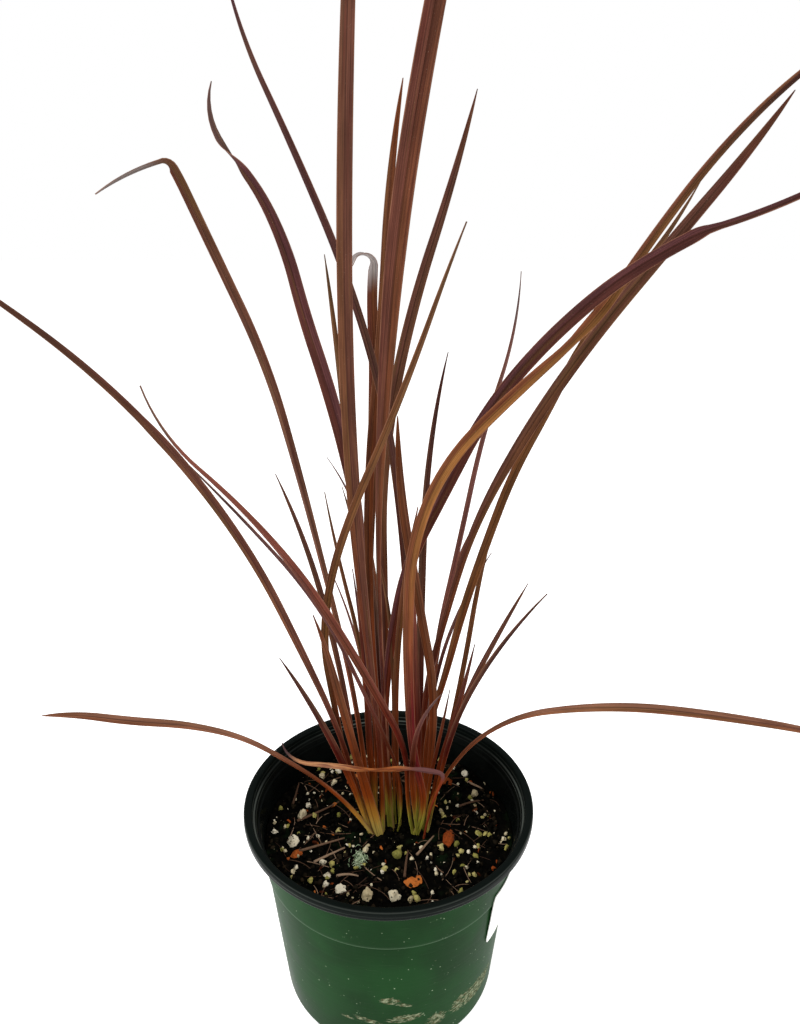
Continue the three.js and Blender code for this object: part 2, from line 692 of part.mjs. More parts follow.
function stubSolid(shoot, grow, low, high) {
  const [x, y] = shoot.centre;
  const [radiusX, radiusY] = shoot.radii;
  return asSolid(ovalPrism(x, y, low, high, radiusX + grow, radiusY + grow));
}

// The largest body of a solid, with any pocket that fusing sealed now filled
function filled(solid) {
  const bodies = solid.decompose();
  return bodies.reduce((largest, body) => (body.volume() > largest.volume() ? body : largest));
}

function makeShoot(shoot) {
  let solid = stubSolid(shoot, 0, SOIL - STUB_DEPTH, SOIL + STUB_RISE);
  for (const leaf of shoot.leaves) solid = solid.add(bladeSolid({ ...leaf, centre: shoot.centre }));
  return named(shoot.name, asGeometry(filled(solid)), shoot.colour, 0.5);
}

const group = new THREE.Group();
group.add(makePot());
group.add(makeLabel());
group.add(makeMix());
for (const shoot of SHOOTS) group.add(makeShoot(shoot));
group.add(named('withered_leaf', asGeometry(bladeSolid(WITHERED_LEAF)), COLOURS.dry, 0.8));

export default group;
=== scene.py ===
# Looks for the potted New Zealand flax, built round its solids. Metres, +Z up. The origin
# is the middle of the pot's underside, and -Y is towards whoever looks at its front.

import math
import random
from collections import namedtuple

import bmesh
import bpy
import numpy as np
from mathutils import Euler, Matrix, Vector, noise


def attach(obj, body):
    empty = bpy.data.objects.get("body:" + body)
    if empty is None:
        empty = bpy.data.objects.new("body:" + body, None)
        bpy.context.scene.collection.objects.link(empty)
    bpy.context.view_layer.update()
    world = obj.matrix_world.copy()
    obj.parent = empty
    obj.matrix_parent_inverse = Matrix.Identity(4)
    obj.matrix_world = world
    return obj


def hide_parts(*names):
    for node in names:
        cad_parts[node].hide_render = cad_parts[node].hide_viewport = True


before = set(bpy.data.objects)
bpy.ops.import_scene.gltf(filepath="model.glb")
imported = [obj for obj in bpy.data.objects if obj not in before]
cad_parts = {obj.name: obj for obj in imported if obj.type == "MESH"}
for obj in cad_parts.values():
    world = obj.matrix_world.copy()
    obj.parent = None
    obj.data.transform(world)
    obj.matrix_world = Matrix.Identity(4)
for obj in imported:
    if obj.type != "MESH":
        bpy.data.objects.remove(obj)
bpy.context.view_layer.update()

MM = 0.001

# Pot, in millimetres as in the solids
POT_HEIGHT = 125
RIM_RADIUS = 82.5
RIM_WIDTH = 3.2
LIP_HEIGHT = 5.6
LIP_ROUND = 1.3
LIP_OVERHANG = 1
FLARE_HEIGHT = 7
FLARE_RADIUS = 79
FLARE_POWER = 1.5
BAND_TOP_RADIUS = 74.5
BAND_LOW_RADIUS = 72
BAND_HEIGHT = 36
BAND_LOW = POT_HEIGHT - BAND_HEIGHT
BAND_BEVEL = (0.15, 0.35)
STEP = 0.8
FOOT_RADIUS = 63.3
FOOT_ROUND = 4
WALL = 1.2
DRAIN_HOLES = 8
DRAIN_RADIUS = 4.5
DRAIN_CIRCLE = 46
POT_SIDES = 160
DRAIN_SIDES = 28
POT_CREASE = 34

# Ledges inside the lip: radius, and depth below the pot's top. Under them the wall narrows to
# the neck at the foot of the flare.
LEDGES = ((77.9, 2.6), (77.4, 4.9), (76.3, 5.5), (75.9, 6.6), (74.9, 9.4), (74.1, 9.9))
NECK_RADIUS = 73.6

# Painted highlights, as thin pale lines where light glints on the lip and its ledges: depth below
# the pot's top, and width. A painted highlight also runs along the lip's outer top edge, which
# sets in between two radii.
GLINT_LINES = ((2.9, 0.3), (5.1, 0.35), (6.7, 0.25))
EDGE_GLINT_DEPTH = 0.45
EDGE_GLINT_RADII = (RIM_RADIUS - 0.9, RIM_RADIUS - 0.6)

# Label
LABEL_TOP = 95
LABEL_LOW = 58
LABEL_THICK = 0.5
LABEL_ANGLES = (-38, 4)
LABEL_CORNER = 2.2
LABEL_MARGIN = 0.4
LABEL_STEPS = 48
LABEL_CREASE = 50

# Potting mix
SOIL = POT_HEIGHT - 24
FIT_GAP = 0.3
SOIL_WAVE = 0.9
CROWN = (8, 5)
CROWN_DIP = 3
CROWN_REACH = 17
SOIL_RINGS = 84
SOIL_SIDES = 260
CLODS = ((9, 1.1), (3.6, 0.9), (1.5, 0.5))

# Grit, twigs and moss on the mix, in millimetres. Loose grit has a number of grains and their
# least and greatest size. All but the dark crumbs keep off an oval, as its middle and half widths.
GRIT_REACH = 70
CLEAR_OVAL = ((8, 6), (24, 16))
ANY_TURN = (0, 6.3)
GRAIN_SINK = 0.3
GRAIN_AXES = ((0.85, 1.15), (0.75, 1.05), (0.65, 0.95))
GRAIN_BREAKS = (0.55, 0.85)
GRAIN_SHIFT = 99
LOOSE_PERLITE = (150, 0.9, 3)
LOOSE_PRILLS = (75, 1.8, 4)
LOOSE_BARK = (60, 1.5, 5)
DARK_CRUMBS = (1300, 0.8, 3.6)
CHIP_THICK = 3
TWIG_RADIUS = 0.8
TWIG_ARCH = 0.5
FIBRES = 120
FIBRE_LENGTHS = (6, 22)
FIBRE_RADII = (0.14, 0.34)
FIBRE_ARCHES = (0, 1.2)
FIBRE_REACH = GRIT_REACH + 1
STRAND_TAPER = 0.45
STRAND_LIFT = 0.25
MOSS_AT = (-16, -25)
MOSS_SPREAD = (1.8, 3.4)
MOSS_STRANDS = 90
MOSS_LENGTHS = (1.6, 4.5)
MOSS_RADIUS = 0.24
MOSS_ARCHES = (0.6, 2.2)

# Blades
BLADE_THICK = 0.7
ROOT_THICK = 2.4
ROOT_THICK_SHARE = 0.45
ROOT_FOLD = 38
BLADE_FOLD = 20
GROWN_FROM = 0.35
ROOT_WIDTH_SHARE = 0.55
OPENS = (0, 0.45)
TAPER_FROM = 0.6
TAPER_POWER = 0.65
TIP_HALF_WIDTH = 0.25
SEGMENT_LENGTH = 36
FEWEST_SEGMENTS = 6
WALK_STEPS = 24
RING_STEPS = 3
HOOK_SPAN = 0.05
ROOT_SINK = 6
ACROSS = (-1, -0.94, -0.78, -0.55, -0.3, -0.12, 0, 0.12, 0.3, 0.55, 0.78, 0.94, 1)
KEEL_ROUND = 0.1
MARGIN_THICK_SHARE = 0.45
PATTERN_SHIFT = 90

# Where a blade's colours change, in millimetres up from its foot and further up in shares of its
# length. Feet near the crown's middle are lime and turn rusty sooner.
PALE_TO_TAN = (12, 26)
TAN_TO_RUST = (24, 42)
RUST_TO_LOW = (38, 70)
BASE_TO_BLADE = (60, 120)
BASE_RAGGED = 34
BASE_DIFFERS = 12
LIME_REACH = (13, 18)
LIME_TURNS_SOONER = 9
HALVES_FROM = (40, 110)
LOW_AND_MID = (0.18, 0.44)
HOOK_FROM = (0.89, 0.925)

# Camera, found from the pot's rim, its foot and the crown in the photograph
CAMERA_AT = (6.5, -370, 445)
CAMERA_DOWN = 21.4
FOCAL_PIXELS = 800
PHOTO_HEIGHT = 1024
SENSOR = 36

# Light: the sky's strength, the floor's glow and half width, what the lamps aim at, and the
# lamps as name, place, size in metres, watts
SKY = 0.5
FLOOR_GLOW = 0.65
FLOOR_HALF = 6
LAMP_AIM = (0, 0, 0.2)
LAMPS = (
    ("left", (-1.5, -0.65, 0.9), 1.1, 24),
    ("right", (1.5, -0.65, 0.8), 1.1, 16),
    ("top", (-0.2, -0.6, 1.9), 1.0, 12),
)


def smoothstep(x, low, high):
    """0 up to the low limit, 1 from the high one on, and a smooth rise between them"""
    t = np.clip((x - low) / (high - low), 0, 1)
    return t * t * (3 - 2 * t)


def lerp(a, b, t):
    """The value a share t of the way from a to b"""
    return a + (b - a) * t


def colour(code):
    """A linear colour from a web colour"""
    parts = [int(code[i:i + 2], 16) / 255 for i in (1, 3, 5)]
    return [c / 12.92 if c <= 0.04045 else ((c + 0.055) / 1.055) ** 2.4 for c in parts] + [1]


def add_object(name, data):
    made = bpy.data.objects.new(name, data)
    bpy.context.scene.collection.objects.link(made)
    return made


def mesh_object(name, points, faces, materials, face_materials=None, attributes=None):
    """A mesh piece from points in millimetres, riding on the part's one body"""
    mesh = bpy.data.meshes.new(name)
    mesh.from_pydata((np.asarray(points, float) * MM).tolist(), [], faces)
    for material in materials:
        mesh.materials.append(material)
    if face_materials is not None:
        mesh.polygons.foreach_set("material_index", np.asarray(face_materials, np.int32))
    for key, values in (attributes or {}).items():
        layer = mesh.attributes.new(key, "FLOAT_VECTOR", "POINT")
        layer.data.foreach_set("vector", np.asarray(values, np.float32).ravel())
    mesh.polygons.foreach_set("use_smooth", [True] * len(mesh.polygons))
    mesh.update()
    piece = add_object(name, mesh)
    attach(piece, "root")
    return piece


class Shader:
    """A material whose nodes are added and linked in one call each"""

    def __init__(self, name, refraction, gloss):
        self.material = bpy.data.materials.new(name)
        self.material.use_nodes = True
        self.tree = self.material.node_tree
        self.principled = self.tree.nodes["Principled BSDF"]
        self.set("IOR", refraction)
        self.set("Specular IOR Level", gloss)

    def node(self, kind, inputs=None, **settings):
        node = self.tree.nodes.new(kind)
        for key, value in settings.items():
            setattr(node, key, value)
        for key, value in (inputs or {}).items():
            self.put(node.inputs[key], value)
        return node

    def put(self, socket, value):
        """Link another node's output to a socket, or set it to a number or a web colour"""
        if isinstance(value, bpy.types.NodeSocket):
            self.tree.links.new(value, socket)
        elif isinstance(value, str):
            socket.default_value = colour(value)
        else:
            socket.default_value = value

    def set(self, socket, value):
        self.put(self.principled.inputs[socket], value)

    def attribute(self, name):
        node = self.node("ShaderNodeAttribute", attribute_name=name)
        return node.outputs["Vector"]

    def position(self):
        return self.node("ShaderNodeTexCoord").outputs["Object"]

    def split(self, vector):
        return self.node("ShaderNodeSeparateXYZ", {0: vector}).outputs

    def join(self, x, y, z):
        return self.node("ShaderNodeCombineXYZ", {0: x, 1: y, 2: z}).outputs[0]

    def math(self, operation, *values):
        inputs = dict(enumerate(values))
        return self.node("ShaderNodeMath", inputs, operation=operation).outputs[0]

    def times(self, a, b):
        return self.math("MULTIPLY", a, b)

    def plus(self, a, b):
        return self.math("ADD", a, b)

    def minus(self, a, b):
        return self.math("SUBTRACT", a, b)

    def apart(self, a, b):
        """How far apart two values are"""
        return self.math("ABSOLUTE", self.minus(a, b))

    def stretched(self, vector, *factors):
        """The vector with each of its parts times a factor of its own"""
        parts = zip(self.split(vector), factors)
        return self.join(*[self.times(part, factor) for part, factor in parts])

    def range(self, value, low, high, to_low=0, to_high=1):
        inputs = {0: value, 1: low, 2: high, 3: to_low, 4: to_high}
        node = self.node("ShaderNodeMapRange", inputs, interpolation_type="SMOOTHSTEP")
        return node.outputs[0]

    def noise(self, vector, scale, detail=2, roughness=0.5):
        inputs = {"Vector": vector, "Scale": scale, "Detail": detail, "Roughness": roughness}
        return self.node("ShaderNodeTexNoise", inputs).outputs["Fac"]

    def cells(self, vector, scale):
        inputs = {"Vector": vector, "Scale": scale}
        return self.node("ShaderNodeTexVoronoi", inputs).outputs["Distance"]

    def mix(self, factor, a, b, blend="MIX"):
        node = self.node("ShaderNodeMix", data_type="RGBA", blend_type=blend)
        self.put(node.inputs[0], factor)
        self.put(node.inputs[6], a)
        self.put(node.inputs[7], b)
        return node.outputs[2]

    def ramp(self, factor, stops):
        node = self.node("ShaderNodeValToRGB", {0: factor})
        elements = node.color_ramp.elements
        while len(elements) < len(stops):
            elements.new(0.5)
        for element, (place, code) in zip(elements, stops):
            element.position = place
            element.color = colour(code)
        return node.outputs[0]

    def bump(self, height, depth):
        inputs = {"Height": height, "Distance": depth * MM}
        self.set("Normal", self.node("ShaderNodeBump", inputs).outputs[0])


# Looks of the leaves: the colours above the rusty base, at mid length and near the tip, the
# painted light and shade of one half of the blade's V, and the colour past a hook near the tip
LOOKS = {
    "brown": ("#4d1805", "#543320", "#442b21", "#503027", "#4a2d1f"),
    "maroon": ("#51190a", "#58301c", "#4e2c1f", "#553129", "#47291f"),
    "plum": ("#531f0e", "#432119", "#3f211e", "#4c2c2d", "#4c3834"),
    "olive": ("#52210a", "#523219", "#593c27", "#51301b", "#513824"),
    "tan": ("#5d2d15", "#6f4732", "#643c28", "#664637", "#6a4430"),
    "rust": ("#5a270f", "#512811", "#542e1b", "#583421", "#562c16"),
    "red": ("#4e140a", "#522a1b", "#6a392f", "#6a382d", "#50382e"),
    "gold": ("#59181a", "#86582e", "#2a1610", "#5e3222", "#4a2a20"),
    "grey": ("#4a1706", "#53281a", "#4d2517", "#56301c", "#8c8380"),
    "dark": ("#3c0905", "#502f22", "#38201b", "#4e3528", "#3b2119"),
    "deep": ("#3c0905", "#3e231b", "#3a2224", "#3b241f", "#3a2224"),
    "dusty": ("#5e270d", "#55392e", "#3c1d10", "#482d21", "#5f5450"),
    "rosy": ("#4d1d0d", "#603731", "#543c3a", "#5b372e", "#564442"),
}
LIME = "#989438"
# The pale foot and the tan base are partly the blades' own colours and partly painted light: they
# are made lighter to lift the shade deep in the crown
PALE_FOOT = "#aa914c"
TAN_BASE = "#a8762c"
RUST_BASE = "#7c3610"
PALE_MARGIN = "#7c5440"
GOLDEN = "#54401c"
DUSKY = "#3c1511"
KEEL = "#24100b"
DUST = "#b8a892"


def blade_noise(s, place, fine, long, scale=1, detail=2, roughness=0.5):
    """Noise drawn out along the blade, which differs from leaf to leaf"""
    across, along, seed = place
    drawn_out = s.join(s.times(across, fine), s.times(along, long), seed)
    return s.noise(drawn_out, scale, detail, roughness)


def base_colour(s, along, lime, ragged, low):
    """The blade's base, from a pale or lime foot through tan and rust to its lowest colour"""
    height = s.plus(along, ragged)
    sooner = s.plus(height, s.times(lime, LIME_TURNS_SOONER))
    pale = s.mix(lime, PALE_FOOT, LIME)
    tan = s.mix(s.range(height, *PALE_TO_TAN), pale, TAN_BASE)
    rust = s.mix(s.range(sooner, *TAN_TO_RUST), tan, RUST_BASE)
    return s.mix(s.range(sooner, *RUST_TO_LOW), rust, low)


def leaf_material(name, low, mid, tip, shaded, hooked):
    """A living blade. One half of its V carries painted light and shade of its own, with fine veins
    and golden and dusky bands along it, and it has a dark keel, pale margins and a few pale flecks"""
    s = Shader(name, 1.45, 0.045)
    place = s.split(s.attribute("blade_mm"))[0:3]
    across, along, seed = place
    side, share, lime = s.split(s.attribute("blade_share"))[0:3]
    own = s.math("FRACT", s.times(seed, 0.37))
    veins = blade_noise(s, place, 2.6, 0.016, 1, 4, 0.65)
    bands = blade_noise(s, place, 0.5, 0.012)
    mottle = blade_noise(s, place, 1, 0.3, 0.9, 3)
    patches = blade_noise(s, place, 0.3, 0.045)

    ragged = s.plus(s.times(s.minus(veins, 0.5), BASE_RAGGED), s.times(own, BASE_DIFFERS))
    base = base_colour(s, along, lime, ragged, low)
    stops = zip((*LOW_AND_MID, *HOOK_FROM), (low, mid, tip, hooked))
    blade_tone = s.ramp(share, list(stops))
    face = s.mix(s.range(along, *BASE_TO_BLADE), base, blade_tone)
    grown = s.range(along, *HALVES_FROM)
    # Painted light and shade: the half of the V on one side of the keel is tinted towards the
    # shaded colour, standing in for how light falls on that half
    painted_shade_half = s.range(s.plus(across, s.times(s.minus(own, 0.5), 1.6)), -0.3, 0.3)
    unhooked = s.range(share, *reversed(HOOK_FROM), 0, 0.75)
    half_light_and_shade = s.mix(s.times(s.times(painted_shade_half, grown), unhooked), face, shaded)
    golden = s.times(s.range(bands, 0.54, 0.74, 0, 0.3), grown)
    dusky = s.times(s.range(bands, 0.46, 0.28, 0, 0.45), grown)
    banded = s.mix(dusky, s.mix(golden, half_light_and_shade, GOLDEN), DUSKY)

    light = s.times(s.range(veins, 0.28, 0.72, 0.6, 1.42), s.range(patches, 0.3, 0.7, 0.84, 1.18))
    tone = s.times(light, s.range(own, 0, 1, 0.88, 1.14))
    veined = s.mix(1, banded, s.join(tone, tone, tone), "MULTIPLY")
    edge = s.times(s.range(side, 0.86, 0.95), s.range(patches, 0.3, 0.6, 0.2, 0.7))
    margined = s.mix(edge, veined, PALE_MARGIN)
    keeled = s.mix(s.range(side, 0.14, 0.03, 0, 0.5), margined, KEEL)
    cells = s.cells(s.join(s.times(across, 1.5), s.times(along, 1.1), seed), 1)
    flecks = s.times(s.range(cells, 0.14, 0.06), s.range(mottle, 0.52, 0.66, 0, 0.5))
    s.set("Base Color", s.mix(flecks, keeled, DUST))
    s.set("Roughness", s.range(mottle, 0.3, 0.7, 0.42, 0.6))
    s.bump(s.plus(veins, s.times(mottle, 0.4)), 0.22)
    return s.material


def dry_material():
    """The withered leaf: tan straw with darker streaks, red-brown where it leaves the crown"""
    s = Shader("withered_straw", 1.4, 0.06)
    place = s.split(s.attribute("blade_mm"))[0:3]
    share = s.split(s.attribute("blade_share"))[1]
    streaks = blade_noise(s, place, 2.4, 0.07, 1, 4, 0.7)
    patches = blade_noise(s, place, 1, 0.1, 0.8, 3)
    tan = s.ramp(streaks, ((0.32, "#54301f"), (0.47, "#9a6848"), (0.68, "#c29768")))
    straw = s.mix(s.range(patches, 0.45, 0.62, 0, 0.75), tan, "#6b4238")
    warm = s.mix(s.range(share, 0.8, 0.66), straw, "#ddb690", "MULTIPLY")
    mauve = s.mix(s.range(share, 0.56, 0.47), warm, "#5f3c3a")
    stem = s.mix(s.range(share, 0.38, 0.33), mauve, "#7a3218")
    whole = s.mix(s.range(share, 0.88, 0.96), stem, "#43302f")
    s.set("Base Color", whole)
    s.set("Roughness", s.range(streaks, 0.3, 0.7, 0.6, 0.85))
    s.bump(streaks, 0.45)
    return s.material


# A row of the leaf table, in millimetres and degrees as in the solids
Leaf = namedtuple(
    "Leaf", "foot long width heading look lean sway twist root opens taper hook",
    defaults=(ROOT_WIDTH_SHARE, OPENS, TAPER_FROM, (1, 0, 0)))


def leaf_path(row, centre):
    """The midline of a leaf with its directions, station by station, root first"""
    segments = max(FEWEST_SEGMENTS, math.floor(row.long / SEGMENT_LENGTH + 0.5))
    steps = segments * WALK_STEPS
    t = np.linspace(0, 1, steps + 1)

    def stations(values):
        return np.interp(t, np.linspace(0, 1, len(values)), values)

    hook_at, hook_lean, hook_twist, hook_span = (*row.hook, HOOK_SPAN)[:4]
    hooked = np.clip((t - hook_at) / hook_span, 0, 1)
    lean = np.radians(stations(row.lean) + hook_lean * hooked)
    sway = np.radians(stations(row.sway))
    twist = np.radians(stations(row.twist) + hook_twist * hooked)[:, None]
    heading = math.radians(row.heading)
    forward = np.sin(lean) * np.cos(sway)
    ahead = np.stack([
        forward * math.cos(heading) - np.sin(sway) * math.sin(heading),
        forward * math.sin(heading) + np.sin(sway) * math.cos(heading),
        np.cos(lean) * np.cos(sway),
    ], 1)
    level = np.array([-math.sin(heading), math.cos(heading), 0])
    side = level - ahead * (ahead @ level)[:, None]
    side /= np.linalg.norm(side, axis=1)[:, None]
    side = side * np.cos(twist) + np.cross(ahead, side) * np.sin(twist)
    start = np.array([*row.foot, SOIL], float)
    at = np.vstack([start, start + np.cumsum(ahead[:-1], 0) * row.long / steps])
    between = (np.array(row.foot) + centre) / 2
    root = np.array([*between, SOIL - ROOT_SINK])
    in_hook = (hooked > 0) & (hooked < 1)
    rings = [i for i in range(steps + 1) if in_hook[i] or i % RING_STEPS == 0]
    kept = [0, *rings]
    at = np.vstack([root, at[rings]])
    return t[kept], at, ahead[kept], side[kept]


def blade(row, centre, seed):
    """Points, faces and both attributes of one leaf: a ring of points round each station"""
    t, at, ahead, side = leaf_path(row, centre)
    face = np.cross(ahead, side)
    grown = smoothstep(t, 0, GROWN_FROM)
    tapered = np.clip((t - row.taper) / (1 - row.taper), 0, 1)
    share = lerp(row.root, 1, smoothstep(t, *row.opens)) * (1 - tapered ** 2) ** TAPER_POWER
    half = np.maximum(TIP_HALF_WIDTH, row.width / 2 * share)[:, None]
    thick = lerp(min(ROOT_THICK, row.width * ROOT_THICK_SHARE), BLADE_THICK, grown)[:, None]
    fold = np.radians(lerp(ROOT_FOLD, BLADE_FOLD, grown))[:, None]
    s = np.array(ACROSS)[None, :]
    soft = (np.hypot(s, KEEL_ROUND) - KEEL_ROUND) / (math.hypot(1, KEEL_ROUND) - KEEL_ROUND)
    rise = half * np.sin(fold)
    u = half * np.cos(fold) * s
    low = rise * soft
    high = low + thick * (1 - (1 - MARGIN_THICK_SHARE) * np.abs(s) ** 3)
    middle = (rise + thick) / 2
    ring_u = np.concatenate([u, u[:, ::-1]], 1)
    ring_v = np.concatenate([low, high[:, ::-1]], 1) - middle
    points = at[:, None] + side[:, None] * ring_u[..., None] + face[:, None] * ring_v[..., None]
    rings, around = ring_u.shape
    across_share = np.concatenate([s, s[:, ::-1]], 1)
    flat = np.ones((rings, around))
    along = (t * row.long)[:, None] * flat
    from_middle = math.hypot(row.foot[0] - CROWN[0], row.foot[1] - CROWN[1])
    lime = 1 - float(smoothstep(from_middle, *LIME_REACH))
    millimetres = np.stack([half * across_share, along, seed * flat], 2)
    shares = np.stack([np.abs(across_share) * flat, t[:, None] * flat, lime * flat], 2)
    faces = []
    for i in range(rings - 1):
        for k in range(around):
            a = i * around + k
            b = i * around + (k + 1) % around
            faces.append([a, b, b + around, a + around])
    end = (rings - 1) * around
    for k in range(len(ACROSS) - 1):
        mirror = around - 1 - k
        faces.append([k, mirror, mirror - 1, k + 1])
        faces.append([end + k, end + k + 1, end + mirror - 1, end + mirror])
    return points.reshape(-1, 3), faces, millimetres.reshape(-1, 3), shares.reshape(-1, 3)


def leaf_piece(name, node, rows, centre, materials, rng):
    """All the leaves of one shoot as one piece that stands for its solid"""
    points, faces, worn, millimetres, shares = [], [], [], [], []
    looks = sorted({row.look for row in rows})
    count = 0
    for row in rows:
        p, f, mm, share = blade(row, centre, rng.uniform(0, PATTERN_SHIFT))
        points.append(p)
        faces += [[count + i for i in face] for face in f]
        worn += [looks.index(row.look)] * len(f)
        millimetres.append(mm)
        shares.append(share)
        count += len(p)
    attributes = {"blade_mm": np.vstack(millimetres), "blade_share": np.vstack(shares)}
    shown = [materials[look] for look in looks]
    piece = mesh_object(name, np.vstack(points), faces, shown, worn, attributes)
    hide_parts(node)


